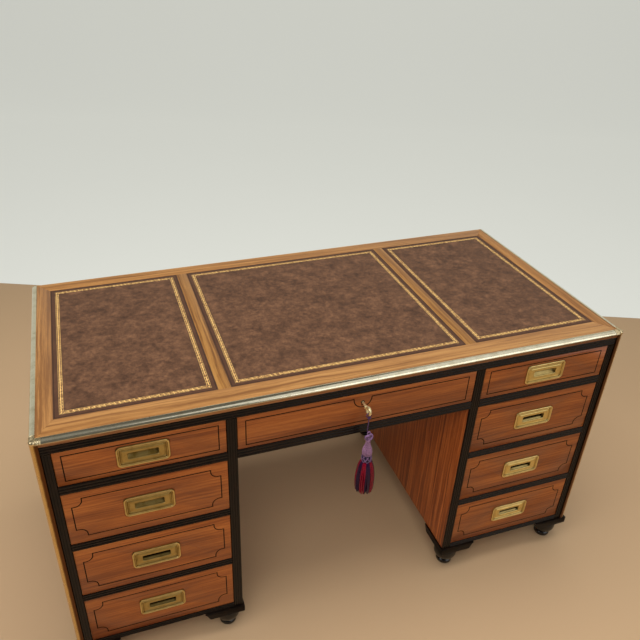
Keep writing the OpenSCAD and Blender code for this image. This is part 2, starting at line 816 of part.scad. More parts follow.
// an oval bulge of the half section: its inner radius, its reach and its two heights
function bulge(r0, r1, z0, z1) = [for (a = [-60:20:60])
    [r0 + (r1 - r0) * cos(a), (z0 + z1) / 2 + (z1 - z0) / 2 * sin(a)]];
tassel_outline = concat(
    [[0, 0], [skirt_r - skirt_lip / 3, 0], [skirt_r, skirt_lip],
        [skirt_r - skirt_lip / 6, skirt_h * skirt_belly],
        [skirt_top_r + skirt_lip / 6, skirt_h - skirt_lip]],
    bulge(tassel_collar_r - collar_round, tassel_collar_r, collar_z, head_z),
    bulge(head_neck_r - collar_round, head_r, head_z, rosette_z - head_h * neck_share),
    [[head_neck_r, rosette_z - head_h * neck_share], [head_neck_r, rosette_z]],
    bulge(head_neck_r - collar_round, rosette_r, rosette_z, tassel_h),
    [[0, tassel_h]]);

module tassel() {
    foot_z = cord_top_z - CORD_ROUTE[len(CORD_ROUTE) - 1][2] - tassel_h;
    color(crimson) translate([0, cord_y, foot_z]) rotate_extrude($fn = 48) polygon(tassel_outline);
}

/* ---------- assembly ---------- */

top_core();
top_border();
top_crossbars();
end_leather("left");  // leather_left
leather_centre();
end_leather("right");  // leather_right
brass_edging();
brass_corner_caps();
brass_corner_posts();
side_panel("left");  // side_panel_left
side_panel("right");  // side_panel_right
kneehole_panel("left");  // kneehole_panel_left
kneehole_panel("right");  // kneehole_panel_right
back_panels();
case_bottoms();
dust_boards();
front_stiles();
front_rails();
plinth_brackets();
turned_feet();
for (s = SIDES, n = ROWS) {
    drawer_front(s, n);
    drawer_box(s, n);
    pull_plate(s, n);
    pull_bail(s, n);
}
drawer_front_centre();
drawer_box_centre();
escutcheon();
lock_case();
lock_bolt();
key();
key_cord();
tassel();
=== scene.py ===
# %% [markdown]
# # A campaign desk, dressed piece by piece
# The desk is a kneehole writing desk that was made to travel: two chests of drawers carry a top
# with three leathers, and brass guards every edge that a porter could knock. The boards, joints
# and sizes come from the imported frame. This lesson adds what a maker would see on the bench:
# polished wood, reeded black mouldings, cast pulls, tooled leather and a silk tassel.

# %% Load the frame
import json

import bmesh
import bpy
import numpy as np
from mathutils import Matrix, Vector

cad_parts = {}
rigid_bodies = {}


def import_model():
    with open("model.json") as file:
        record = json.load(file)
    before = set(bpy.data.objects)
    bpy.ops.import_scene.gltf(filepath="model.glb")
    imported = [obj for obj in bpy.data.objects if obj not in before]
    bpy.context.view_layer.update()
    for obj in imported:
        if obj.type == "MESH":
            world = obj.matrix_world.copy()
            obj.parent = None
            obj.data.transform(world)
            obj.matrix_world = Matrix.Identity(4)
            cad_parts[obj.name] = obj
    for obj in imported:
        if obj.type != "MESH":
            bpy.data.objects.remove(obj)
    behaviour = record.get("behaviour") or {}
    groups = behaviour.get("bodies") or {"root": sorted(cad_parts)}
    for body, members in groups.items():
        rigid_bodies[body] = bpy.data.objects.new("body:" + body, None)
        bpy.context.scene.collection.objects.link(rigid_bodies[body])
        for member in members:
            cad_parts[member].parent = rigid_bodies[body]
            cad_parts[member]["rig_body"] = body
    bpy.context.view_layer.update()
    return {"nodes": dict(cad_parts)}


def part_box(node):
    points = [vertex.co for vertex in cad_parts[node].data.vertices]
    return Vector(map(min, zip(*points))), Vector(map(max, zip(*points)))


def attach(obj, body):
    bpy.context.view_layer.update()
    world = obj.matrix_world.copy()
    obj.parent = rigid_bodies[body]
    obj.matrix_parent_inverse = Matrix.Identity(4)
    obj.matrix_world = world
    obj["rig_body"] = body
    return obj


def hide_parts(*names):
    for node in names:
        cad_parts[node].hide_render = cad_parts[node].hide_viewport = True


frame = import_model()
NODES, SIDES, ROWS = frame["nodes"], ("left", "right"), (1, 2, 3, 4)


def box_mm(node):
    """Lowest and highest corner of a node of the frame, in millimetres."""
    low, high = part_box(node)
    return np.array(low) * 1000, np.array(high) * 1000


# %% [markdown]
# ## The camera
# A desk shows most of itself from standing height, a little to one side. The camera could be
# aimed with a Track To constraint, but then its roll would be lost, so its three axes are worked
# out from yaw, pitch and roll, and go straight into its matrix. The shift moves what it sees
# sideways and down a little without turning the camera.

# %% Set up the camera
eye = np.array([-0.5489, -1.4122, 1.6962])
yaw, pitch, roll = np.radians([18.5541, 30.7432, 1.1268])
ahead = np.array([np.sin(yaw) * np.cos(pitch), np.cos(yaw) * np.cos(pitch), -np.sin(pitch)])
level = np.array([np.cos(yaw), -np.sin(yaw), 0.0])
upright = np.cross(level, ahead)
across = level * np.cos(roll) + upright * np.sin(roll)
upwards = upright * np.cos(roll) - level * np.sin(roll)

picture, focal, sensor = 640, 659.368, 36.0
lens = bpy.data.cameras.new("camera")
lens.sensor_width, lens.lens = sensor, focal * sensor / picture
lens.shift_x, lens.shift_y = 27.87 / picture, -12.27 / picture
lens.clip_start, lens.clip_end = 0.05, 60
camera = bpy.data.objects.new("camera", lens)
turned = Matrix(np.stack([across, upwards, -ahead], 1).tolist())
camera.matrix_world = Matrix.Translation(eye) @ turned.to_4x4()
bpy.context.scene.collection.objects.link(camera)
bpy.context.scene.camera = camera
print("lens: %.2f mm" % lens.lens)


# %% [markdown]
# ## Writing finishes as sums
# A finish is a tree of nodes, and a long tree is hard to read. Two small classes let the tree be
# written as arithmetic instead. `Value` holds one number that changes over the surface, and
# adding, multiplying or comparing values makes the Math nodes. `Finish` makes every other node
# in one method, and sets the shader's constants directly.

# %% Numbers that vary over a surface
def socket_named(sockets, key):
    """A socket by its place, its identifier or its name."""
    if isinstance(key, int):
        return sockets[key]
    return next((s for s in sockets if s.identifier == key), None) or sockets[key]


class Value:
    """A number that changes over a surface: a socket with arithmetic."""

    def __init__(self, finish, socket):
        self.finish, self.socket = finish, socket

    def math(self, operation, first, second=0.0):
        return self.finish.node("ShaderNodeMath", {"operation": operation},
                                Value=first, Value_001=second)

    def __add__(self, other):
        return self.math("ADD", self, other)

    def __sub__(self, other):
        return self.math("SUBTRACT", self, other)

    def __rsub__(self, other):
        return self.math("SUBTRACT", other, self)

    def __mul__(self, other):
        return self.math("MULTIPLY", self, other)

    def __truediv__(self, other):
        return self.math("DIVIDE", self, other)

    def __abs__(self):
        return self.math("ABSOLUTE", self)

    __radd__, __rmul__ = __add__, __mul__

    def least(self, other):
        return self.math("MINIMUM", self, other)

    def rise(self, low, high):
        """0 below low, 1 above high, and a smooth slope between; falls where low > high."""
        return self.finish.node("ShaderNodeMapRange", {"interpolation_type": "SMOOTHSTEP"},
                                **{"Value": self, "From Min": low, "From Max": high})


# %% Finishes made of nodes
class Finish:
    """A material: constants are set on the shader, and what varies is linked to it."""

    def __init__(self, name, **constants):
        self.material = bpy.data.materials.new(name)
        self.material.use_nodes = True
        self.tree = self.material.node_tree
        self.shader = self.tree.nodes["Principled BSDF"]
        for key, value in constants.items():
            self.shader.inputs[key.replace("_", " ")].default_value = value

    def node(self, kind, settings=None, output=0, **sockets):
        """A node of any kind: its settings first, then the values or links of its sockets."""
        made = self.tree.nodes.new(kind)
        for key, value in (settings or {}).items():
            if key == "stops":
                stops = made.color_ramp.elements
                while len(stops) < len(value):
                    stops.new(1.0)
                for stop, (place, colour) in zip(stops, value):
                    stop.position, stop.color = place, colour
            else:
                setattr(made, key, value)
        for key, value in sockets.items():
            self.feed(socket_named(made.inputs, key), value)
        return Value(self, socket_named(made.outputs, output))

    def feed(self, socket, value):
        if isinstance(value, Value):
            self.tree.links.new(value.socket, socket)
        else:
            socket.default_value = value

    def paint(self, **links):
        """Links what varies to the shader."""
        for key, value in links.items():
            self.feed(self.shader.inputs[key.replace("_", " ")], value)
        return self

    def place(self):
        """Position on the desk in millimetres, as three values."""
        point = self.node("ShaderNodeTexCoord", output="Object")
        parts = [self.node("ShaderNodeSeparateXYZ", output=i, Vector=point) for i in range(3)]
        return [part * 1000 for part in parts]

    def noise(self, x, y, z, detail=2.0, roughness=0.5):
        """Cloudy noise about 0.5 at a point, whose features are about one unit across."""
        point = self.node("ShaderNodeCombineXYZ", X=x, Y=y, Z=z)
        return self.node("ShaderNodeTexNoise", Vector=point, Scale=1.0, Detail=detail,
                         Roughness=roughness)

    def ramp(self, value, *stops):
        return self.node("ShaderNodeValToRGB", {"stops": stops}, Fac=value)

    def mix(self, share, first, second):
        return self.node("ShaderNodeMix", {"data_type": "RGBA"}, "Result_Color",
                         Factor_Float=share, A_Color=first, B_Color=second)

    def bump(self, height, distance, strength=1.0):
        return self.node("ShaderNodeBump", output="Normal", Height=height, Distance=distance,
                         Strength=strength)


# %% Colours
def rgb(red, green, blue):
    """A colour given as 0 to 255, turned into the linear light that a shader wants."""
    seen = np.array([red, green, blue]) / 255
    linear = np.where(seen <= 0.04045, seen / 12.92, ((seen + 0.055) / 1.055) ** 2.4)
    return (*linear.tolist(), 1.0)


print("a mid grey is %.3f in linear light" % rgb(128, 128, 128)[0])

# %% [markdown]
# ## Surfaces worked out with numpy
# Nearly every new piece here is a row of closed sections carried along a line: a moulding, a
# turned foot, a cast plate, a cord. `skin` covers such a stack of rings with four-sided faces.
# The rings come from small functions that compute whole arrays of points, in millimetres, which
# is far quicker and shorter than placing vertices one by one.

# %% Skins, lathes and tubes
def skin(rings, closed=False):
    """P(i, j) is point j of ring i. Each ring closes on itself. Where closed, the last ring joins
    the first, and otherwise both ends get a cap."""
    rings = np.asarray(rings, float)
    count, sides = rings.shape[:2]
    i = np.arange(count if closed else count - 1)[:, None]
    j = np.arange(sides)[None, :]
    after_i, after_j = (i + 1) % count, (j + 1) % sides
    faces = np.stack([i * sides + j, i * sides + after_j, after_i * sides + after_j,
                      after_i * sides + j], -1).reshape(-1, 4).tolist()
    if not closed:
        faces += [list(range(sides))[::-1], list(range((count - 1) * sides, count * sides))]
    return rings.reshape(-1, 3), faces


def lathe(profile, centre, axis=2, sides=48):
    """P(h, a) = centre + r(h) (cos a, sin a) across the axis + h along it."""
    radius, height = np.asarray(profile, float).T
    angle = np.linspace(0, 2 * np.pi, sides, endpoint=False)
    points = np.zeros((len(radius), sides, 3))
    points[..., (axis + 1) % 3] = radius[:, None] * np.cos(angle)
    points[..., (axis + 2) % 3] = radius[:, None] * np.sin(angle)
    points[..., axis] = height[:, None]
    return skin(points + np.asarray(centre, float))


def frames(path, closed=False):
    """Two unit vectors across a path at each of its points: along x e, where e is the axis that
    the path follows least, and along x the first."""
    path = np.asarray(path, float)
    if closed:
        along = np.roll(path, -1, 0) - np.roll(path, 1, 0)
    else:
        along = np.gradient(path, axis=0)
    along /= np.linalg.norm(along, axis=1, keepdims=True)
    least = np.eye(3)[np.argmin(np.abs(along).max(0))]
    first = np.cross(along, least)
    first /= np.linalg.norm(first, axis=1, keepdims=True)
    return first, np.cross(along, first)


def tube(path, radius, sides=12, closed=False, ridge=0.0, plies=3, lay=8.0):
    """P(s, a) = path(s) + r (u cos a + v sin a); ridge cuts the grooves of a twisted cord,
    r (1 - ridge (1 - |cos(plies (a - 2 pi s / lay) / 2)|)), with s in millimetres along it."""
    path = np.asarray(path, float)
    first, second = frames(path, closed)
    angle = np.linspace(0, 2 * np.pi, sides, endpoint=False)[None, :]
    steps = np.linalg.norm(np.diff(path, axis=0), axis=1)
    run = np.concatenate([[0], np.cumsum(steps)])[:, None]
    if closed:
        lap = run[-1] + np.linalg.norm(path[0] - path[-1])
        lay = lap / max(1, round(float(lap[0]) / lay))
    girth = np.broadcast_to(np.asarray(radius, float), (len(path),))[:, None]
    girth = girth * (1 - ridge * (1 - np.abs(np.cos(plies * (angle - 2 * np.pi * run / lay) / 2))))
    return skin(path[:, None] + girth[..., None] * (np.cos(angle)[..., None] * first[:, None]
                                                    + np.sin(angle)[..., None] * second[:, None]),
                closed)


print("a plain tube of 2 rings:", len(tube([[0, 0, 0], [0, 0, 1]], 1.0)[0]), "points")

# %% [markdown]
# ## From skins to finished pieces
# `piece` joins several skins into one object, welds the points that fall together at a pole,
# turns every face outwards and shades it smooth except across a real edge. The object stays at
# the origin with its place in its points, so a pattern in object coordinates stays where it is.
# `eased` is for boards: it copies a board of the frame, welds it and breaks its sharp edges with
# a small bevel, because a hand-finished edge always catches a thin line of light.

# %% Finished pieces
made = []


def dress(obj, finish, body, slot, *replaced):
    """Gives an object its finish and its body, and hides the nodes it stands for; slot is not used.
    """
    obj.data.materials.clear()
    obj.data.materials.append(finish.material)
    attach(obj, body)
    if replaced:
        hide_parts(*replaced)
    made.append(obj)
    return obj


def piece(name, skins, finish, body, slot, *replaced, crease=38):
    """One object from skins in millimetres."""
    starts = np.cumsum([0] + [len(points) for points, _ in skins])
    points = np.concatenate([points for points, _ in skins]) / 1000
    faces = [[int(start) + k for k in face] for start, (_, group) in zip(starts, skins)
             for face in group]
    mesh = bpy.data.meshes.new(name)
    mesh.from_pydata(points.tolist(), [], faces)
    tidy = bmesh.new()
    tidy.from_mesh(mesh)
    bmesh.ops.remove_doubles(tidy, verts=tidy.verts, dist=1e-7)
    bmesh.ops.recalc_face_normals(tidy, faces=tidy.faces)
    tidy.to_mesh(mesh)
    tidy.free()
    mesh.shade_smooth()
    mesh.set_sharp_from_angle(angle=np.radians(crease))
    obj = bpy.data.objects.new(name, mesh)
    bpy.context.scene.collection.objects.link(obj)
    return dress(obj, finish, body, slot, *replaced)


# %% Boards with eased edges, and nodes that keep their shape
def eased(node, finish, slot, width=0.8):
    """A board of the frame with its edges broken by a bevel of this width in millimetres."""
    mesh = NODES[node].data.copy()
    mesh.name = node + "_eased"
    tidy = bmesh.new()
    tidy.from_mesh(mesh)
    bmesh.ops.remove_doubles(tidy, verts=tidy.verts, dist=1e-6)
    bmesh.ops.dissolve_limit(tidy, angle_limit=np.radians(1), verts=tidy.verts,
                             edges=tidy.edges, use_dissolve_boundaries=False)
    tidy.to_mesh(mesh)
    tidy.free()
    mesh.shade_smooth()
    obj = bpy.data.objects.new(node + "_eased", mesh)
    bpy.context.scene.collection.objects.link(obj)
    bevel = obj.modifiers.new("broken_edge", "BEVEL")
    bevel.width, bevel.segments, bevel.limit_method = width / 1000, 2, "ANGLE"
    bevel.angle_limit, bevel.harden_normals = np.radians(30), True
    return dress(obj, finish, NODES[node]["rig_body"], slot, node)


def repaint(finish, *nodes):
    """Nodes whose shape is already right only get a finish."""
    for node in nodes:
        NODES[node].data.materials.clear()
        NODES[node].data.materials.append(finish.material)
    print("repainted:", len(nodes))


# %% [markdown]
# ## Silk for the key
# The key hangs a silk tassel, so the right drawer is found by touch. Silk has a soft broad
# sheen, which the Sheen of the shader gives, and its threads run round each cord. A noise
# stretched along the desk's height raises the threads in the bump, and the grooves between them are
# painted darker as painted shade.

# %% Silk finishes
def silk(name, shade, groove_shade, sheen, gloss=0.32):
    """Dyed silk: fine upright threads, with painted shade in the grooves between them."""
    finish = Finish(name, Roughness=gloss, Specular_IOR_Level=0.25, Sheen_Weight=sheen,
                    Sheen_Roughness=0.3)
    x, y, z = finish.place()
    threads = finish.noise(x * 1.6, y * 1.6, z * 0.35, detail=3)
    # painted shade: where the thread noise is low, the groove colour is painted in
    return finish.paint(
        Base_Color=finish.ramp(threads, (0.34, groove_shade), (0.62, shade)),
        Normal=finish.bump(threads, 0.0004, 0.6))


mauve_silk = silk("mauve_silk", rgb(172, 130, 160), rgb(52, 26, 52), 0.05, 0.3)
violet_silk = silk("violet_silk", rgb(140, 106, 142), rgb(70, 44, 76), 0.1)
purple_silk = silk("purple_silk", rgb(84, 54, 94), rgb(40, 24, 46), 0.1)
crimson_silk = silk("crimson_silk", rgb(140, 7, 38), rgb(40, 2, 12), 0.0, 0.22)
plum_silk = silk("plum_silk", rgb(44, 16, 50), rgb(12, 4, 18), 0.0, 0.24)
navy_silk = silk("navy_silk", rgb(28, 20, 44), rgb(8, 4, 16), 0.0)
print("silks: mauve, violet, purple, crimson, plum, navy")

# %% [markdown]
# ## The cord
# The cord loops through the bow of the key and hangs 45 mm to the tassel. It could be a plain
# tube, but a cord is three plies twisted together, so the tube's radius dips along three grooves
# that wind round it. Its route is the one that the frame settled.

# %% Key cord
cord_top = np.array([0.0, -349.1, 703.34])
cord_steps = np.array([
    [0, 0, 0], [0.1, 0, 3], [0.3, 0.1, 6], [0.5, 0.2, 9], [0.6, 0.3, 12], [0.7, 0.4, 15],
    [0.7, 0.4, 18], [0.6, 0.4, 21], [0.4, 0.3, 24], [0.2, 0.2, 27], [0, 0.1, 30],
    [-0.1, 0, 33], [-0.2, 0, 36], [-0.2, 0, 39], [-0.1, 0, 42], [0, 0, 44.7]])
cord_route = cord_top + cord_steps * [1, -1, -1]
fine = np.linspace(0, 15, 91)
cord_line = np.stack([np.interp(fine, np.arange(16), cord_route[:, k]) for k in range(3)], 1)
cord = piece("key_cord_twisted", [tube(cord_line, 1.3, 18, ridge=0.22, lay=9)], purple_silk,
             "tassel", "silk_cord", "key_cord")

# the eye of the cord: a closed ring of the same cord round the wire of the bow
lap = np.linspace(0, 2 * np.pi, 72, endpoint=False)
eye_centre = np.array([0.0, -349.1, 707.9])
ring_line = eye_centre + np.stack([6.0 * np.sin(lap), 0 * lap, 5.8 * np.cos(lap)], 1)
knot = [tube(eye_centre + np.stack([1.2 + 3.0 * np.cos(lap), s * 1.3 + 0.8 * np.sin(2 * lap),
                                    -7.0 + 2.2 * np.sin(lap)], 1), 1.5, 12, True, ridge=0.2)
        for s in (-1, 1)]
cord_eye = piece("key_cord_eye", [tube(ring_line, 1.15, 12, True, ridge=0.2, lay=9)] + knot,
                 purple_silk, "tassel", "silk_cord")
print("cord: %.1f mm" % np.linalg.norm(np.diff(cord_route, axis=0), axis=1).sum())

# %% [markdown]
# ## The tassel
# A tassel is built round a turned wooden mould. The pear-shaped head is covered with floss laid
# side by side, a net collar grips its foot, and a skirt of thick twisted strands hangs from it.
# Each part is a surface of revolution whose radius carries the threads as waves, so the light
# breaks on them. The strands are separate tubes, alternately crimson and plum, in two layers.

# %% Tassel head and rosette
tassel_length = 188.0
foot_z = cord_route[-1][2] - tassel_length
axis_x, axis_y = 4.6, -349.1


def threaded(profile, waves, depth, sides=120, twist=0.0):
    """P(h, a) with radius r(h) (1 + depth cos(waves a + twist h)): floss laid over a mould."""
    radius, height = np.asarray(profile, float).T
    angle = np.linspace(0, 2 * np.pi, sides, endpoint=False)[None, :]
    girth = radius[:, None] * (1 + depth * np.cos(waves * angle + twist * height[:, None]))
    rings = np.stack([axis_x + girth * np.cos(angle), axis_y + girth * np.sin(angle),
                      foot_z + np.broadcast_to(height[:, None], girth.shape)], -1)
    return skin(rings)


def smooth_profile(points, count=40):
    """A half section through these (radius, height) points, at even steps along its length, each
    averaged with two neighbours on either side, so that the corners are soft."""
    points = np.asarray(points, float)
    run = np.concatenate([[0], np.cumsum(np.linalg.norm(np.diff(points, axis=0), axis=1))])
    at = np.linspace(0, run[-1], count)
    eased_at = [np.interp(at, run, points[:, k]) for k in range(2)]
    kernel = np.array([1, 2, 3, 2, 1]) / 9
    soft = [np.convolve(np.pad(c, 2, mode="edge"), kernel, "valid") for c in eased_at]
    return np.stack(soft, 1)


head_profile = smooth_profile([(0, 113), (8.4, 114), (11.2, 119), (11.6, 127), (9.6, 137),
                               (6.4, 147), (5.0, 156), (6.4, 161), (0, 164)], 60)
head = threaded(head_profile, 20, 0.09)
lobe = np.linspace(0, 2 * np.pi, 60, endpoint=False)
petals = [tube(np.stack([axis_x + s * 3.6 + 5.2 * np.sin(lobe) + s * 1.2 * np.cos(lobe),
                         axis_y - 1.5 + 1.6 * s * np.cos(lobe),
                         foot_z + 171 + 6.4 * np.cos(lobe) - 0.8 * s * np.sin(lobe)], 1),
               2.6, 14, True, ridge=0.14, plies=2, lay=4.5) for s in (-1, 1)]
petals.append(tube(np.stack([axis_x + 3.4 * np.sin(lobe), axis_y + 0 * lobe,
                             foot_z + 181.5 + 4.6 * np.cos(lobe)], 1), 1.7, 12, True, ridge=0.14))
piece("tassel_head", [head], mauve_silk, "tassel", "silk_tassel", "tassel")
rosette = piece("tassel_rosette", petals, violet_silk, "tassel", "silk_tassel", "tassel")
print("rosette loops:", len(petals))

# %% Collar: a dark barrel under a net of crossing cords
climb = np.linspace(0, 1, 24)
barrel = smooth_profile([(0, 94), (9.6, 95), (11.6, 100), (11.6, 110), (9.4, 115), (0, 116)], 24)
net = []
for turn in np.linspace(0, 2 * np.pi, 7, endpoint=False):
    for way in (-1, 1):
        bend = turn + way * 1.1 * climb
        out = 10.6 + 1.7 * np.sin(np.pi * climb)
        net.append(tube(np.stack([axis_x + out * np.cos(bend), axis_y + out * np.sin(bend),
                                  foot_z + 95.5 + 19 * climb], 1), 1.0, 8, ridge=0.15, lay=4))
piece("tassel_collar", [threaded(barrel, 40, 0.02)], navy_silk, "tassel", "silk_tassel", "tassel")
piece("tassel_net", net, violet_silk, "tassel", "silk_tassel", "tassel")
print("net cords:", len(net))


# %% Tassel skirt
def strand(turn, layer, length, sway, radius=2.3):
    """A twisted strand: its distance from the tassel's axis is 11 + 11 sin(0.68 pi d^0.7), times
    its layer, as it hangs from d = 0 to 1, so the skirt swells and draws in at its foot."""
    down = np.linspace(0, 1, 34)
    out = layer * (11 + 11 * np.sin(0.68 * np.pi * down ** 0.7))
    bend = turn + sway * down ** 2
    route = np.stack([axis_x + out * np.cos(bend), axis_y + out * np.sin(bend),
                      foot_z + 96 - length * down], 1)
    taper = radius * np.clip(np.sqrt(np.clip(1.02 - down, 0, 1) * 12), 0.3, 1)
    return tube(route, taper, 9, ridge=0.22, plies=2, lay=5.5)


chance = np.random.default_rng(7)
strands = {"crimson": [], "plum": []}
for layer, count in ((1.0, 30), (0.72, 18)):
    for k in range(count):
        group = "crimson" if (k * 10 // count) % 2 == 0 else "plum"
        strands[group].append(strand(2 * np.pi * (k + 0.3 * chance.random()) / count, layer,
                                     91 + 3.5 * chance.random(), 0.12 * (chance.random() - 0.5)))
for shade, dyed in (("crimson", crimson_silk), ("plum", plum_silk)):
    piece("tassel_strands_" + shade, strands[shade], dyed, "tassel", "silk_tassel", "tassel")
print("strands:", sum(map(len, strands.values())))


# %% [markdown]
# ## Polished wood
# The desk is veneered in a straight-grained golden wood under French polish. Wood is long fibres:
# every pattern in it is stretched along the grain and changes quickly across it. So one function
# mixes four noises that are stretched along the grain: broad bands of growth, fine lines, fibres
# and short dark pores. A slower fifth one makes them drift sideways. The polish is a clear coat
# with a soft gloss. Which way the grain runs is passed in, because it runs up the panels, along
# the drawers, and round the mitred top.

# %% Wood finishes
def wood(name, grain, shades, lines=0.5, bands=45.0, coat=0.12, gloss=0.4, shine=0.5):
    """grain(finish) gives distance along, across and into the board, in millimetres, and may add
    a share of painted shade, for a board whose grain lies across the light and so looks darker."""
    finish = Finish(name, Coat_Weight=coat, Coat_Roughness=0.12, IOR=1.45,
                    Specular_IOR_Level=shine)
    along, over, depth, *cross_grain_shade = grain(finish)
    drift = finish.noise(along / 160, over / 60, depth / 60) * 14
    over = over + drift
    growth = finish.noise(along / 420, over / bands, depth / 60, detail=2)
    line = finish.noise(along / 300, over / 5.0, depth / 12, detail=2, roughness=0.6)
    fibre = finish.noise(along / 26, over / 0.9, depth / 2, detail=1)
    tone = growth * (1 - lines) + line * lines + (fibre - 0.5) * 0.24
    # painted shade on boards whose grain lies across the light
    for share in cross_grain_shade:
        tone = tone - share * 0.06
    pore = finish.noise(along / 9, over / 0.55, depth / 1.2, detail=0).rise(0.66, 0.78)
    dark, middle, light = shades
    colour = finish.ramp(tone, (0.36, dark), (0.5, middle), (0.62, light))
    colour = finish.mix(pore * 0.45, colour, dark)
    return finish.paint(Base_Color=colour, Roughness=gloss + (fibre - 0.5) * 0.16,
                        Normal=finish.bump(fibre - pore, 0.00005, 0.5))


def grain_along(order):
    """Grain along the first axis in order; its lines lie side by side along the second."""
    def grain(finish):
        place = dict(zip("xyz", finish.place()))
        return [place[axis] for axis in order]
    return grain


def mitred_grain(finish):
    """Along the front and back boards, and front to back beyond the mitres at both ends; the end
    boards' share is also returned, for painted shade.
    """
    x, y, z = finish.place()
    inset = ((y + 303) / 50).least((359 - y) / 43).least(1.0)
    beyond = (abs(x) - (717 - inset * 36)).rise(-0.2, 0.2)
    turned = (y - x) * beyond
    return x + turned, y - turned, z, beyond


honey_tones = rgb(108, 70, 36), rgb(139, 96, 52), rgb(156, 113, 64)
honey_border = wood("honey_border", mitred_grain, honey_tones, lines=0.62, bands=20,
                    coat=0.02, shine=0.3)
honey_bar = wood("honey_bar", grain_along("yxz"),
                 (rgb(88, 54, 24), rgb(126, 85, 41), rgb(145, 104, 54)), lines=0.6, bands=20,
                 coat=0.02, shine=0.3)
honey_edge = wood("honey_edge", grain_along("xzy"),
                  (rgb(84, 46, 20), rgb(132, 80, 38), rgb(160, 104, 54)))
drawer_veneer = wood("drawer_veneer", grain_along("xzy"),
                     (rgb(112, 52, 16), rgb(142, 74, 27), rgb(164, 92, 37)), lines=0.5, bands=30)
case_tones = rgb(96, 41, 14), rgb(144, 72, 29), rgb(178, 100, 47)
case_veneer = wood("case_veneer", grain_along("zyx"), case_tones, lines=0.5, bands=7)
back_veneer = wood("back_veneer", grain_along("zxy"), case_tones, lines=0.5, bands=12)
pale_lining = wood("pale_lining", grain_along("yxz"),
                   (rgb(170, 130, 84), rgb(206, 168, 120), rgb(226, 194, 150)), coat=0.0,
                   gloss=0.6)
print("woods: border, bar, edge, drawers, case, back, lining")

# %% Boards of the top, case and drawers
eased("top_core", honey_edge, "top_wood", 1.0)
eased("top_border", honey_border, "top_wood", 0.4)
eased("top_crossbars", honey_bar, "top_wood", 0.4)
for side in SIDES:
    eased("side_panel_" + side, case_veneer, "case_wood")
    eased("kneehole_panel_" + side, case_veneer, "case_wood")
    for row in ROWS:
        eased(f"drawer_front_{side}_{row}", drawer_veneer, "drawer_wood")
eased("back_panels", back_veneer, "case_wood", 1.0)
eased("drawer_front_centre", drawer_veneer, "drawer_wood")
repaint(pale_lining, "case_bottoms", "dust_boards", "drawer_box_centre",
        *[f"drawer_box_{side}_{row}" for side in SIDES for row in ROWS])
print("boards dressed:", len(made))

# %% [markdown]
# ## Ebonised mouldings
# The drawers are framed in pearwood, stained black and polished, with reeds along its face. A
# reed is a half round between two grooves. The moulding's section is worked out once, as a flat
# back and a row of small arcs, and carried along each stile and rail. The stain rubs through to
# brown here and there, so a noise mixes its colour. The same function makes three blacks: for the
# polished frame, the dull plinth and the glossy turned feet.

# %% Ebonised finish
def black_stain(name, shine, brown, gloss):
    """Black stain, rubbed through to brown where a cloudy noise is high."""
    finish = Finish(name, IOR=1.45, Specular_IOR_Level=shine)
    x, y, z = finish.place()
    rubbed = finish.noise(x / 14, y / 14, z / 14, detail=4, roughness=0.65)
    return finish.paint(Base_Color=finish.ramp(rubbed, (0.42, rgb(13, 9, 7)), (0.78, brown)),
                        Roughness=rubbed * 0.2 + gloss, Normal=finish.bump(rubbed, 0.0001, 0.15))


ebonised = black_stain("ebonised", 0.22, rgb(30, 16, 9), 0.1)
plinth_black = black_stain("plinth_black", 0.08, rgb(34, 21, 13), 0.3)
turned_black = black_stain("turned_black", 0.6, rgb(20, 14, 10), 0.05)
print("blacks: frame, plinth, feet")


# %% Reeded stiles and rails
def reeded(width, thick, reeds, rise=1.4, gap=1.0, steps=8):
    """Section (u, v): v = thick - rise + rise sqrt(1 - t^2) over each reed, t from -1 to 1."""
    pitch = width / reeds
    t = -np.cos(np.linspace(0, np.pi, steps + 1))
    u = pitch * (np.arange(reeds)[:, None] + 0.5) + t * (pitch - gap) / 2
    v = thick - rise + rise * np.sqrt(1 - t ** 2) + 0 * u
    return np.concatenate([[[0, 0]], np.stack([u.ravel(), v.ravel()], 1), [[width, 0]]])


def moulding(x0, x1, z0, z1, front, thick, reeds, upright):
    """A reeded strip between two corners of the front; v of the section runs towards -Y."""
    u, v = reeded((x1 - x0) if upright else (z1 - z0), thick, reeds).T
    ends = (z0, z1) if upright else (x0, x1)
    flat = [np.stack([x0 + u, front + thick - v, 0 * u + e] if upright
                     else [0 * u + e, front + thick - v, z0 + u], 1) for e in ends]
    return skin(flat)


frame_y = box_mm("front_stiles")[0][1]
kneehole_x, drawer_in, drawer_out, frame_out = 303, 327, 693.5, 713
case_foot, frame_head, board_under, thin, thick_rail = 95, 745, 767, 6, 14
row_floor, rail_height = (650, 469, 291, 113), (25, 22, 22, 18)
stiles, rails = [], [
    moulding(-frame_out, frame_out, frame_head, board_under, frame_y, thick_rail, 3, False),
    moulding(-kneehole_x, kneehole_x, row_floor[0] - rail_height[0], row_floor[0], frame_y, thin,
             3, False)]
for sign in (-1, 1):
    inner, outer, span = (sorted((sign * a, sign * b)) for a, b in (
        (kneehole_x, drawer_in), (drawer_out, frame_out), (drawer_in, drawer_out)))
    stiles += [moulding(*edges, case_foot, frame_head, frame_y, thin, reeds, True)
               for edges, reeds in ((inner, 4), (outer, 3))]
    rails += [moulding(*span, floor - tall, floor, frame_y, thin, 3, False)
              for floor, tall in zip(row_floor, rail_height)]
piece("stiles_reeded", stiles, ebonised, "carcass", "ebonised_wood", "front_stiles", crease=50)
piece("rails_reeded", rails, ebonised, "carcass", "ebonised_wood", "front_rails", crease=50)
eased("plinth_brackets", plinth_black, "ebonised_wood", 1.2)
print("mouldings:", len(stiles) + len(rails))

# %% [markdown]
# ## Turned feet
# Each foot is turned from one block: a bun on the floor, a fillet, a waist, a full bulb and a
# flange under the plinth. A lathe spins a half section round the foot's axis, so the section is
# all that has to be drawn; arcs for the bun and the bulb keep it crisp at the fillets.

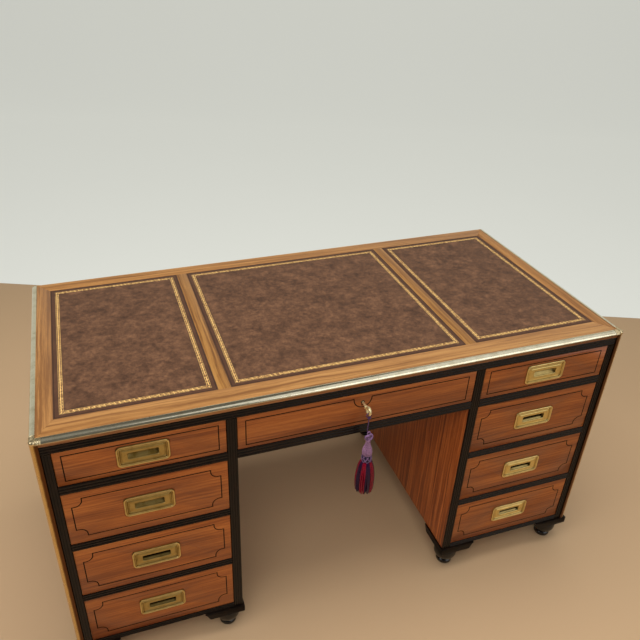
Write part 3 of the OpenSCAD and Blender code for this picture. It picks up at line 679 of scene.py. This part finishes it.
# %% Feet
arc = np.radians(np.linspace(-78, 78, 15))
bun = np.stack([13.4 + 10 * np.cos(arc), 9.5 + 9.5 * np.sin(arc)], 1)
swell = np.radians(np.linspace(-80, 62, 24))
bulb = np.stack([17 + 16.6 * np.cos(swell), 45.5 + 21.6 * np.sin(swell)], 1)
foot_section = np.concatenate([[[0, 0], [13.4, 0]], bun, [[17.4, 19.2], [17.4, 20.2], [18.4, 20.6],
                               [18.4, 22.4], [18, 23.2]], bulb,
                               [[25.4, 66.4], [27, 67.2], [27, 73], [0, 73]]])
feet = [lathe(foot_section, (foot_x, foot_y, 0), sides=64) for foot_x in (-694, -339, 339, 694)
        for foot_y in (-277.5, 323)]
piece("feet_turned", feet, turned_black, "carcass", "ebonised_wood", "turned_feet", crease=30)
print("feet:", len(feet))


# %% [markdown]
# ## Brass
# Brass is a metal, so its colour lives in its reflections: the shader's Metallic is 1 and the
# Base Color tints what it mirrors. The edging is polished often and nearly clean. The pulls are
# handled and waxed, so they are duller, with patina behind their rims, and most pockets are painted
# black as shade. One function makes every brass, with different amounts of each, and of painted
# shade.

# %% Brass finishes
def brass(name, clean, patina, gloss, dirt, sunk=0.0, pocket_shade=0.0, metal=1.0, west_shade=0.0, shade_within=0):
    """Clean metal with clouds of patina and scratches. Patina also gathers just behind the
    drawers' face (sunk). Painted shade darkens the left of the desk (west_shade) and what lies
    nearer the middle than a distance (shade_within), and paints the deepest places black
    (pocket_shade)."""
    finish = Finish(name, Metallic=metal)
    x, y, z = finish.place()
    cloud = finish.noise(x / 24, y / 24, z / 24, detail=4, roughness=0.6)
    scratch = finish.noise(x / 1.6, y / 1.6, z / 1.6, detail=3)
    behind = y - face_y
    # patina in clouds and just behind the face; painted shade makes the left of the desk darker
    stain = (cloud.rise(0.42, 0.78) * dirt + (behind + 2.1).rise(0.0, 0.9) * sunk
             + (1 - (x / 500).rise(-1, 1)) * west_shade).least(1.0)
    # painted shade: nearer the middle than this distance, the metal is painted brown, standing in
    # for a strip of wood in shade
    if shade_within:
        stain = (stain + (shade_within - abs(x)).rise(-3, 3)).least(1.0)
    # painted shade: the deepest places of the pockets are painted nearly black
    black = (behind - 1.5).rise(2.6, 7.0) * pocket_shade
    return finish.paint(
        Base_Color=finish.mix(black, finish.mix(stain, clean, patina), rgb(30, 23, 10)),
        Roughness=gloss + stain * 0.2 + (scratch - 0.5) * 0.12,
        Normal=finish.bump(scratch, 0.00003, 0.35))


face_y = box_mm("drawer_front_centre")[0][1]
cast_tones = rgb(232, 210, 144), rgb(140, 112, 52)
polished_brass = brass("polished_brass", rgb(236, 227, 199), rgb(184, 165, 121), 0.16, 0.4)
# pocket shade is painted in: lightly for the pulls whose pockets catch light, nearly black for the
# rest
cast_brass = brass("cast_brass", *cast_tones, 0.34, 0.3, sunk=0.55, pocket_shade=0.1, west_shade=0.25)
shaded_pocket_brass = brass("shaded_pocket_brass", *cast_tones, 0.34, 0.3, sunk=0.55, pocket_shade=1.0, west_shade=0.25)
# the bails are painted darker on the left of the desk, as shade
dull_brass = brass("dull_brass", rgb(222, 198, 128), rgb(120, 94, 42), 0.34, 0.25, west_shade=0.5)
key_brass = brass("key_brass", rgb(240, 222, 168), rgb(170, 140, 86), 0.2, 0.5, metal=0.8)
# each post's inner part is painted brown: a strip of wood in painted shade
post_brass = brass("post_brass", rgb(216, 184, 122), rgb(98, 62, 34), 0.24, 0.2, shade_within=721)
cap_brass = brass("cap_brass", rgb(236, 216, 172), rgb(158, 126, 82), 0.3, 0.7)
# the escutcheon is painted near black: painted shade inside the keyhole
keyhole_shade_brass = brass("keyhole_shade_brass", rgb(48, 36, 20), rgb(20, 14, 8), 0.5, 0.8)
steel = brass("lock_steel", rgb(150, 148, 142), rgb(90, 80, 70), 0.35, 0.5)
repaint(steel, "lock_case", "lock_bolt")
repaint(keyhole_shade_brass, "escutcheon")
print("brasses: edging, pulls, bails, key, posts, caps, keyhole; and steel")

# %% [markdown]
# ## Edging, posts and corner caps
# A rounded brass strip guards the edge of the top, a quarter-round post guards each front
# corner, and a cast cap ties them together. The strip is a quarter of an ellipse carried along
# the edge. The cap is the same section, swollen by a relief of leaf-like waves that grow towards
# a round knob at the very corner, which is where a travelling desk takes its knocks.

# %% Brass edging and posts
edge_x, edge_y, core_top, edge_w, edge_h, back_y, cap_reach = 717, -303, 777, 13, 8.5, 359, 11
turn = np.linspace(0, np.pi / 2, 17)
oval = np.concatenate([[[0, 0]], np.stack([edge_w * np.cos(turn), edge_h * np.sin(turn)], 1)])


def edge_strip(section, a, b, inner, out):
    """The section, u outwards and v up, carried from a to b along the edge."""
    inner, out, up = np.asarray(inner, float), np.asarray(out, float), np.array([0, 0, 1.0])
    along = np.cross(up, out)
    flat = inner + section[:, :1] * out + section[:, 1:] * up
    return skin(np.stack([flat + along * a, flat + along * b]))


front_end, side_end = edge_x - cap_reach, edge_y + cap_reach
strips = [edge_strip(oval, -front_end, front_end, (0, edge_y, core_top), (0, -1, 0)),
          edge_strip(oval, -back_y, -side_end, (-edge_x, 0, core_top), (-1, 0, 0)),
          edge_strip(oval, side_end, back_y, (edge_x, 0, core_top), (1, 0, 0))]
piece("edging_drawn", strips, polished_brass, "carcass", "polished_brass", "brass_edging",
      crease=60)

post_r, post_x, post_y, post_back = 11, 719, -305, -6
quarter = np.concatenate([post_r * np.stack([np.cos(turn), np.sin(turn)], 1),
                          [[post_back, post_r], [post_back, 0]]])
posts = []
for sign in (-1, 1):
    outline = quarter * [sign, -1] + [sign * post_x, post_y]
    posts.append(skin(np.stack([np.column_stack([outline, np.full(len(outline), h)])
                                for h in (case_foot, core_top)])))
piece("posts_drawn", posts, post_brass, "carcass", "polished_brass", "brass_corner_posts",
      crease=60)
print("edging: 3 strips and 2 posts")


# %% Corner caps
def cap_arm(sign, along_x):
    """Section (13 + g, 8.5 + g) with g(s) a relief of leaf waves over s, 0 to 1 outwards."""
    s = np.linspace(0, 1, 41)[:, None]
    a = np.linspace(0, np.pi / 2, 21)[None, :]
    leaf = 0.5 + 0.5 * np.cos(2 * np.pi * (2.5 * s + 1.1 * np.abs(a / np.pi * 2 - 0.5)))
    collar = np.exp(-((s - 0.96) / 0.04) ** 2) + np.exp(-((s - 0.04) / 0.05) ** 2)
    grow = 0.15 + 0.55 * leaf * (1 - collar.clip(0, 1)) + 0.8 * collar.clip(0, 1)
    u = np.concatenate([0 * s, (edge_w + grow) * np.cos(a)], 1)
    v = np.concatenate([0 * s, (edge_h + grow) * np.sin(a)], 1)
    run = -cap_reach * (1 - s) + 0 * u
    x, y = (run, u) if along_x else (u, run)
    return skin(np.stack([sign * (edge_x + x), edge_y - y, core_top + v], -1))


def corner_bend(sign):
    """A quarter of an ellipse, 13.3 out and 8.8 up, swung a quarter turn round the corner."""
    bend = np.linspace(0, np.pi / 2, 13)[:, None]
    a = np.linspace(0, np.pi / 2, 13)
    out, up = np.append(0, 13.3 * np.cos(a)), np.append(0, 8.8 * np.sin(a))
    return skin(np.stack([sign * (edge_x + out * np.sin(bend)), edge_y - out * np.cos(bend),
                          core_top + up + 0 * bend], -1))


def corner_knob(sign):
    """Sphere of latitude a and longitude b, pressed onto the corner between the two arms."""
    a = np.linspace(0, np.pi, 25)
    return lathe(np.stack([8.2 * np.sin(a), -6.6 * np.cos(a)], 1),
                 (sign * 722.2, -308.2, 779.8), sides=36)


caps = [part for sign in (-1, 1) for part in (cap_arm(sign, True), cap_arm(sign, False),
                                              corner_knob(sign), corner_bend(sign))]
piece("corner_caps_cast", caps, cap_brass, "carcass", "polished_brass", "brass_corner_caps")
print("caps:", len(caps) // 4)

# %% [markdown]
# ## Leather and gilding
# Three skivers of brown hide fill the top. Hide is mottled by its dye and wrinkled by its pores,
# and it is darker in the band round its edge. A wheel ran a blind line round each one, 3 mm from
# the edge, and a heated brass roll pressed gold leaf inside it: two running lines with slanted
# scrolls and dots between them. The hide is a grid that is fine only near its edges, so that its
# height can dip along the blind line, and the gold is a low relief laid on it.

# %% Leather finish
hide = Finish("tooled_hide", IOR=1.45, Specular_IOR_Level=0.3)
x, y, z = hide.place()
mottle = hide.noise(x / 46, y / 46, z / 46, detail=6, roughness=0.66)
stain = hide.noise(x / 12, y / 12, z / 12, detail=5, roughness=0.7)
pores = hide.node("ShaderNodeTexVoronoi", output="Distance",
                  Vector=hide.node("ShaderNodeCombineXYZ", X=x, Y=y, Z=z), Scale=0.9)
rim = hide.node("ShaderNodeAttribute", {"attribute_name": "rim"}, "Fac")
band = (1 - rim.rise(22.0, 24.0)) * 0.7
line = 1 - abs(rim - 3.0).rise(0.3, 1.1)
body_colour = hide.ramp(mottle * 0.45 + stain * 0.55, (0.34, rgb(50, 31, 20)),
                        (0.5, rgb(80, 54, 37)), (0.66, rgb(110, 77, 54)))
body_colour = hide.mix(band, body_colour, rgb(64, 40, 28))
hide.paint(Base_Color=hide.mix(line * 0.8, body_colour, rgb(28, 17, 12)),
           Roughness=0.46 + stain * 0.2,
           Normal=hide.bump(pores * 0.6 + stain * 0.5, 0.0005, 0.5))

gold_leaf = Finish("gold_leaf", Metallic=0.35, IOR=1.45, Specular_IOR_Level=0.3)
x, y, z = gold_leaf.place()
worn = gold_leaf.noise(x / 7, y / 7, z / 7, detail=3, roughness=0.6)
gold_leaf.paint(Base_Color=gold_leaf.ramp(worn, (0.34, rgb(150, 104, 56)),
                                          (0.52, rgb(238, 194, 120))),
                Roughness=0.36 + worn * 0.3)
print("finishes: hide and gold leaf")


# %% Leather sheets
def leather_sheet(node):
    """z(x, y) = top - groove(distance to the edge); the closed slab has a flat underside."""
    low, high = box_mm(node)
    steps = np.array([0, 0.6, 1.5, 2.4, 3.0, 3.6, 4.6, 7, 10, 12.5, 16, 22, 30, 45])
    axes = [np.concatenate([low[k] + steps, np.linspace(low[k] + 60, high[k] - 60, 9),
                            (high[k] - steps)[::-1]]) for k in range(2)]
    x, y = np.meshgrid(*axes, indexing="ij")
    edge = np.minimum(np.minimum(x - low[0], high[0] - x), np.minimum(y - low[1], high[1] - y))
    z = high[2] - 0.45 * np.exp(-((edge - 3) / 0.55) ** 2) - 0.3 * np.exp(-edge / 0.35)
    m, n = x.shape
    top = np.stack([x, y, z], -1).reshape(-1, 3)
    base = top.copy()
    base[:, 2] = low[2]
    i, j = np.meshgrid(np.arange(m - 1), np.arange(n - 1), indexing="ij")
    a = (i * n + j).ravel()
    up = np.stack([a, a + n, a + n + 1, a + 1], 1)
    rim_line = np.concatenate([np.arange(m - 1) * n, (m - 1) * n + np.arange(n - 1),
                               np.arange(m - 1, 0, -1) * n + n - 1, np.arange(n - 1, 0, -1)])
    after = np.roll(rim_line, -1)
    wall = np.stack([rim_line, after, after + m * n, rim_line + m * n], 1)
    faces = np.concatenate([up, up[:, ::-1] + m * n, wall]).tolist()
    return np.concatenate([top, base]), faces


print("centre leather: %.0f x %.0f x %.1f mm" % tuple(np.subtract(*box_mm("leather_centre")[::-1])))


# %% Gilding lines and scrolls
def tooled(points, width, height):
    """A low ridge of gold along flat points: three corners per station, closed below."""
    points = np.asarray(points, float)
    along = np.gradient(points, axis=0)
    along /= np.linalg.norm(along, axis=1, keepdims=True)
    side = np.stack([-along[:, 1], along[:, 0]], 1) * np.reshape(width, (-1, 1)) / 2
    foot = np.full((len(points), 1), gold_z)
    rings = np.stack([np.hstack([points + side, foot]), np.hstack([points, foot + height]),
                      np.hstack([points - side, foot])], 1)
    return skin(rings)


gold_z = box_mm("leather_centre")[1][2] - 0.05
arc_s = np.linspace(-1, 1, 15)
heading = np.radians(62) + 3.4 * arc_s ** 2 - 1.2
scroll = np.stack([np.cumsum(np.cos(heading)), np.cumsum(np.sin(heading))], 1)
scroll -= scroll.mean(0)
scroll *= np.array([10.2, 6.4]) / np.ptp(scroll, axis=0)
scroll_width = 3.1 - 1.5 * np.abs(arc_s)


def gilding(node):
    """The roll's pattern walked round the leather: lines, and a scroll and a dot each 10.8 mm."""
    low, high = box_mm(node)
    parts = []
    corners = np.array([[low[0], low[1]], [high[0], low[1]], [high[0], high[1]],
                        [low[0], high[1]]])
    inward = np.array([[1, 1], [-1, 1], [-1, -1], [1, -1]])
    line_in, line_out = 21.5, 13.2
    for k in range(4):
        a, b = corners[k], corners[(k + 1) % 4]
        along = (b - a) / np.linalg.norm(b - a)
        into = np.array([-along[1], along[0]])
        for inset, width in ((line_in, 1.3), (line_out, 0.9)):
            start, end = a + inset * inward[k], b + inset * inward[(k + 1) % 4]
            parts.append(tooled(np.stack([start, (start + end) / 2, end]), width, 0.22))
        reach = np.linalg.norm(b - a) - 2 * 22
        count = max(1, round(reach / 10.8))
        at = 22 + reach * (np.arange(count) + 0.5) / count
        centres = a + at[:, None] * along + 17.4 * into
        turned = scroll[:, :1] * along + scroll[:, 1:] * into
        parts += [tooled(c + turned, scroll_width, 0.25) for c in centres]
        dots = a + (at + reach / count / 2)[:, None] * along + 16.4 * into
        parts += [lathe([(1.3, 0), (0.9, 0.2), (0, 0.3)], (*dot, gold_z), sides=7)
                  for dot in dots]
        parts.append(lathe([(2.6, 0), (2.0, 0.25), (0, 0.35)],
                           (*(a + 17.4 * inward[k]), gold_z), sides=10))
    return parts


print("scroll: %.1f x %.1f mm" % tuple(np.ptp(scroll, axis=0)))


# %% Lay and gild the three leathers
for node in ("leather_left", "leather_centre", "leather_right"):
    sheet = piece(node + "_hide", [leather_sheet(node)], hide, "carcass", "tooled_leather", node,
                  crease=60)
    spots = np.empty(len(sheet.data.vertices) * 3)
    sheet.data.vertices.foreach_get("co", spots)
    spots = spots.reshape(-1, 3) * 1000
    low, high = box_mm(node)
    rim_at = np.minimum(np.minimum(spots[:, 0] - low[0], high[0] - spots[:, 0]),
                        np.minimum(spots[:, 1] - low[1], high[1] - spots[:, 1]))
    sheet.data.attributes.new("rim", "FLOAT", "POINT").data.foreach_set("value", rim_at)
    piece(node + "_gilding", gilding(node), gold_leaf, "carcass", "tooled_leather", crease=20)
print("leathers: 3, with blind line and gilding")

# %% [markdown]
# ## Stringing
# A dark line is let into every drawer front. On the real desk it is a strip of ebony glued into a
# scratched groove. Here it is a flat strip that follows a closed path with mitred corners, a
# tenth of a millimetre proud. The deep drawers have cut-in corners, and the line of the
# centre drawer dips in a half ellipse round the keyhole.

# %% Stringing paths
def string_line(path, width=2.5, proud=0.12):
    """Offsets a closed (x, z) path to both sides by width / 2 times its mitre, which is
    (n0 + n1) / (1 + n0 . n1) for the unit normals of the two lines that meet at a corner."""
    path = np.asarray(path, float)
    ahead = np.roll(path, -1, 0) - path
    ahead /= np.linalg.norm(ahead, axis=1, keepdims=True)
    normal = np.stack([-ahead[:, 1], ahead[:, 0]], 1)
    before = np.roll(normal, 1, 0)
    mitre = (normal + before) / (1 + (normal * before).sum(1, keepdims=True)) * width / 2
    left, right = path + mitre, path - mitre
    front, back = np.full(len(path), face_y - proud), np.full(len(path), face_y + 0.3)
    rings = np.stack([np.stack([e[:, 0], y, e[:, 1]], 1) for e, y in
                      ((left, back), (left, front), (right, front), (right, back))], 1)
    return skin(rings, closed=True)


def plain_outline(x0, x1, z0, z1):
    """A rectangle, from its lower left corner round by the lower right one."""
    return np.array([[x0, z0], [x1, z0], [x1, z1], [x0, z1]])


def cut_corners(x0, x1, z0, z1):
    """Each corner: straight to 23, a tick of 5.5, then a quarter circle of 17.5 bulging in."""
    a = np.radians(np.linspace(0, 90, 9))
    cut = np.concatenate([[[23, 0]], np.stack([5.5 + 17.5 * np.cos(a), 5.5 + 17.5 * np.sin(a)], 1),
                          [[0, 23]]])
    corner = [((x0, z0), (1, 1), -1), ((x1, z0), (-1, 1), 1), ((x1, z1), (-1, -1), -1),
              ((x0, z1), (1, -1), 1)]
    return np.concatenate([(np.array(at) + cut * way)[::step] for at, way, step in corner])


def keyhole_dip(x0, x1, z0, z1, radius=23.0, drop=27.0):
    """The top line turns down in a half ellipse, centred on x = 0."""
    a = np.radians(np.linspace(0, 180, 19))
    dip = np.stack([radius * np.cos(a), z1 - drop * np.sin(a)], 1)
    return np.concatenate([[[x0, z0], [x1, z0], [x1, z1]], dip, [[x0, z1]]])


print("points round a path with cut corners:", len(cut_corners(0, 300, 0, 120)))


# %% Lay the stringing
ebony_line = Finish("ebony_line", Roughness=0.5, Specular_IOR_Level=0.1)
x, y, z = ebony_line.place()
ebony_line.paint(Base_Color=ebony_line.ramp(ebony_line.noise(x / 9, y, z / 9, detail=3),
                                            (0.4, rgb(6, 3, 2)), (0.75, rgb(26, 13, 7))))
for side in SIDES:
    for row in ROWS:
        (x0, _, z0), (x1, _, z1) = box_mm(f"drawer_front_{side}_{row}")
        path = plain_outline(x0 + 17, x1 - 17, z0 + 11.5, z1 - 11.5) if row == 1 else \
            cut_corners(x0 + 17, x1 - 17, z0 + 19, z1 - 19)
        piece(f"stringing_{side}_{row}", [string_line(path)], ebony_line,
              f"drawer_{side}_{row}", "ebonised_wood")
(x0, _, z0), (x1, _, z1) = box_mm("drawer_front_centre")
piece("stringing_centre", [string_line(keyhole_dip(x0 + 19, x1 - 19, z0 + 9.5, z1 - 13))],
      ebony_line, "drawer_centre", "ebonised_wood")
print("stringing: 9 lines")


# %% [markdown]
# ## Flush pulls
# A flush pull can't catch on anything: its plate is let into the drawer, and a bail swings out of
# a pocket when a finger goes into its slot. Plate and bail are castings, so every edge is
# rounded. Both are stacks of round-cornered rectangles: the stack of the plate runs from the
# back of its pocket over the rim and down inside, and the stack of the bail closes on itself
# round the slot. The pocket's corners are squarer than the bail's, and its floor lies deeper,
# because the top of the bail turns back into the pocket as it swings out.

# %% Pull plates and bails
def rounded(width, height, radius, y, steps=6):
    """Points of a round-cornered rectangle at depth y, the same number for any size."""
    a = np.radians(90 * np.arange(4)[:, None] + np.linspace(0, 90, steps + 1))
    cx = np.array([1, -1, -1, 1])[:, None] * (width / 2 - radius)
    cz = np.array([1, 1, -1, -1])[:, None] * (height / 2 - radius)
    x, z = cx + radius * np.cos(a), cz + radius * np.sin(a)
    return np.stack([x.ravel(), np.full(x.size, float(y)), z.ravel()], 1)


# width, height, corner radius and depth of each level
plate_levels = [(72, 18, 4, 12.4), (100.4, 43.4, 4, 11.8), (100.4, 43.4, 4, 1.8),
                (114, 57, 11, 1.8), (114, 57, 11, -0.9), (113.2, 56.2, 10.6, -1.8),
                (111.6, 54.6, 10, -2.3),
                (106.8, 49.8, 8.4, -2.3), (105.6, 48.6, 8, -1.2), (104, 47, 7.4, -1.2),
                (102.8, 45.8, 7, -2.3), (101.4, 44.4, 5.8, -2.3), (100.2, 43.2, 5, -1.2),
                (98, 41, 2.8, -1.1), (98, 41, 2.8, 2.3), (78, 23, 4, 2.5), (76, 21, 4, 3.3),
                (64, 12, 3, 9), (60, 6, 2.5, 10.6)]
bail_levels = [(97.2, 40.2, 4.4, 1.2), (97.2, 40.2, 4.4, -0.2), (96.2, 39.2, 4.2, -0.9),
               (93.6, 36.6, 3.9, -1.1), (92.4, 35.4, 3.7, -0.2), (90.8, 33.8, 3.5, -0.2),
               (89.6, 32.6, 3.3, -1.1), (88.4, 31.4, 3.2, -1.4), (70.6, 20.6, 4, -1.4),
               (67.4, 18, 3.6, -1), (66, 16.6, 3.2, 0), (66, 16.6, 3.2, 1), (67.4, 18, 3, 1.5),
               (88, 32, 3, 1.5)]
pin_out, pin_back, pin_up = 44, -0.35, 14.2
# pulls whose pockets get only a little painted shade; the others are painted nearly black inside
lit_pockets = {("left", 1), ("left", 2), ("right", 1)}
for side in SIDES:
    for row in ROWS:
        low, high = box_mm(f"pull_plate_{side}_{row}")
        centre = (low + high) / 2 * [1, 0, 1] + [0, face_y, 0]
        plate = skin([rounded(*level) + centre for level in plate_levels])
        pins = [lathe([(0, -1.1), (1.5, -1.1), (1.7, 0), (0, 0)],
                      centre + [sign * pin_out, pin_back, pin_up], axis=1, sides=16)
                for sign in (-1, 1)]
        swing = skin([rounded(*level) + centre for level in bail_levels], closed=True)
        metal = cast_brass if (side, row) in lit_pockets else shaded_pocket_brass
        piece(f"plate_cast_{side}_{row}", [plate], metal, f"drawer_{side}_{row}",
              "pull_brass", f"pull_plate_{side}_{row}", crease=30)
        piece(f"bail_cast_{side}_{row}", [swing] + pins, dull_brass, f"bail_{side}_{row}",
              "pull_brass", f"pull_bail_{side}_{row}", crease=30)
print("pulls: 8 plates with 8 bails")

# %% [markdown]
# ## The key
# The bow is a plain heavy ring, and the shank carries a turned collar, as on most furniture
# locks. The ring is a torus of nearly round wire, so that the cord's eye can slide round it as the
# key turns. The rest comes off the lathe, apart from the bit, which is a small filed plate.

# %% Key
lap = np.linspace(0, 2 * np.pi, 64, endpoint=False)
wire = np.linspace(0, 2 * np.pi, 24, endpoint=False)[None, :]
bow_y, key_z = -346.1, 718
reach = 9.0 + 3.0 * np.cos(wire)
bow = skin(np.stack([3.3 * np.sin(wire) + 0 * lap[:, None], bow_y + reach * np.cos(lap)[:, None],
                     key_z + reach * np.sin(lap)[:, None]], -1), closed=True)
shank = lathe([(0, -336.5), (4.2, -336.3), (4.4, -335.2), (3.4, -334.2), (3.4, -333.2),
               (4.2, -332.8), (4.6, -331.9), (4.6, -330.5), (4.1, -329.8), (3.3, -329.4),
               (3.1, -314), (2.6, -295.4), (2.2, -294.4), (0, -294.4)],
              (0, 0, key_z), axis=1, sides=32)
bit = skin(np.array([[[x, y, z] for x, z in ((-1, 710), (1, 710), (1, 717), (-1, 717))]
                     for y in (-297.2, -294.3)]))
piece("key_turned", [bow, shank, bit], key_brass, "key", "polished_brass", "key", crease=35)
print("key: bow, shank, bit")

# %% [markdown]
# ## Room and light
# The desk stands on a plain floor before a paper backdrop that curves up from it and glows a
# little, so it stays even. Large soft lights above and in front give the soft shadow under the
# desk. Polished metal shows whatever stands round it, so some lamps are hidden from reflections,
# and one panel at the front right does nothing but draw the bright line along the brass.

# %% Floor and backdrop
def stage_sheet(name, skin_of_it, shade, glow=0.0, dim=1.0):
    """Plain paper or paint; a backdrop glows, and takes less light from the lamps."""
    points, faces = skin_of_it
    mesh = bpy.data.meshes.new(name)
    mesh.from_pydata(np.asarray(points, float).tolist(), [], faces)
    mesh.shade_smooth()
    obj = bpy.data.objects.new(name, mesh)
    bpy.context.scene.collection.objects.link(obj)
    finish = Finish(name, Roughness=0.75, Emission_Color=shade, Emission_Strength=glow)
    x, y, z = finish.place()
    cloud = finish.noise(x / 900, y / 900, z / 900, detail=2)
    finish.paint(Base_Color=finish.mix(cloud, tuple(dim * c for c in shade),
                                       tuple(0.94 * dim * c for c in shade)))
    mesh.materials.append(finish.material)


def backdrop_sheet(near, far):
    """P(s, t): s along the line through near and far, and well past both, so that its ends stay
    out of sight from the side; t back from it, flat, then a quarter turn, then up."""
    along, off_floor = far - near, 0.002
    back = np.array([along[1], -along[0]]) / np.linalg.norm(along)
    back *= np.sign(back[1])
    bend = np.linspace(0, np.pi / 2, 24)
    depth = np.concatenate([[0], 3.2 + 1.6 * np.sin(bend), [4.8]])
    rise = np.concatenate([[0], 1.6 - 1.6 * np.cos(bend), [7.5]]) + off_floor
    ends = [np.column_stack([start + depth[:, None] * back, rise])
            for start in (near - 4 * along, far + 6 * along)]
    points, count = np.concatenate(ends), len(depth)
    k = np.arange(count - 1)
    return points, np.stack([k, k + 1, k + 1 + count, k + count], 1).tolist()


half = 25
floor = [(-half, -half, 0), (half, -half, 0), (half, half, 0), (-half, half, 0)], [[0, 1, 2, 3]]
stage_sheet("floor", floor, rgb(178, 148, 113))
stage_sheet("backdrop", backdrop_sheet(np.array([1.9915, 0.6999]), np.array([-1.0283, 1.9587])),
            rgb(206, 207, 199), glow=0.79, dim=0.4)
print("stage: floor and backdrop")


# %% Lights
def softbox(name, place, aim, size, power, mirrored=True, lights=True):
    """An area light that can be hidden from reflections, or seen only in them."""
    lamp = bpy.data.lights.new(name, "AREA")
    lamp.shape, lamp.size, lamp.size_y = "RECTANGLE", *size
    lamp.energy = power
    obj = bpy.data.objects.new(name, lamp)
    obj.visible_glossy, obj.visible_diffuse = mirrored, lights
    turn = (Vector(aim) - Vector(place)).to_track_quat("-Z", "Y")
    obj.matrix_world = Matrix.Translation(place) @ turn.to_matrix().to_4x4()
    bpy.context.scene.collection.objects.link(obj)


softbox("key_light", (-1.0, -2.1, 2.95), (-0.3, 0, 0.5), (2.0, 1.4), 50, mirrored=False)
softbox("window_light", (1.5, -0.75, 3.0), (1.0, -0.3, 0), (3.8, 2.4), 18)
softbox("window_edge", (-1.35, -0.75, 3.0), (-0.8, -0.3, 0), (1.7, 2.4), 1.6)
softbox("front_light", (-2.3, -3.2, 2.2), (-0.3, 0, 0.6), (2.4, 1.8), 11, mirrored=False)
softbox("front_panel", (2.7, -4.0, 2.5), (0.4, 0, 0.7), (3.8, 3.8), 62, lights=False)
softbox("fill_light", (-2.7, -0.8, 2.5), (-0.6, 0.4, 0), (1.8, 1.8), 26)
softbox("top_light", (-0.1, -0.1, 3.4), (-0.1, 0, 0), (2.6, 1.8), 92, mirrored=False)
world = bpy.data.worlds.new("room")
world.use_nodes = True
world.node_tree.nodes["Background"].inputs["Color"].default_value = (0.8, 0.79, 0.74, 1)
world.node_tree.nodes["Background"].inputs["Strength"].default_value = 0.15
bpy.context.scene.world = world
bpy.context.scene.view_settings.view_transform = "Standard"
print("lights:", len(bpy.data.lights))

# %% Count the pieces made
print("pieces made:", len(made))
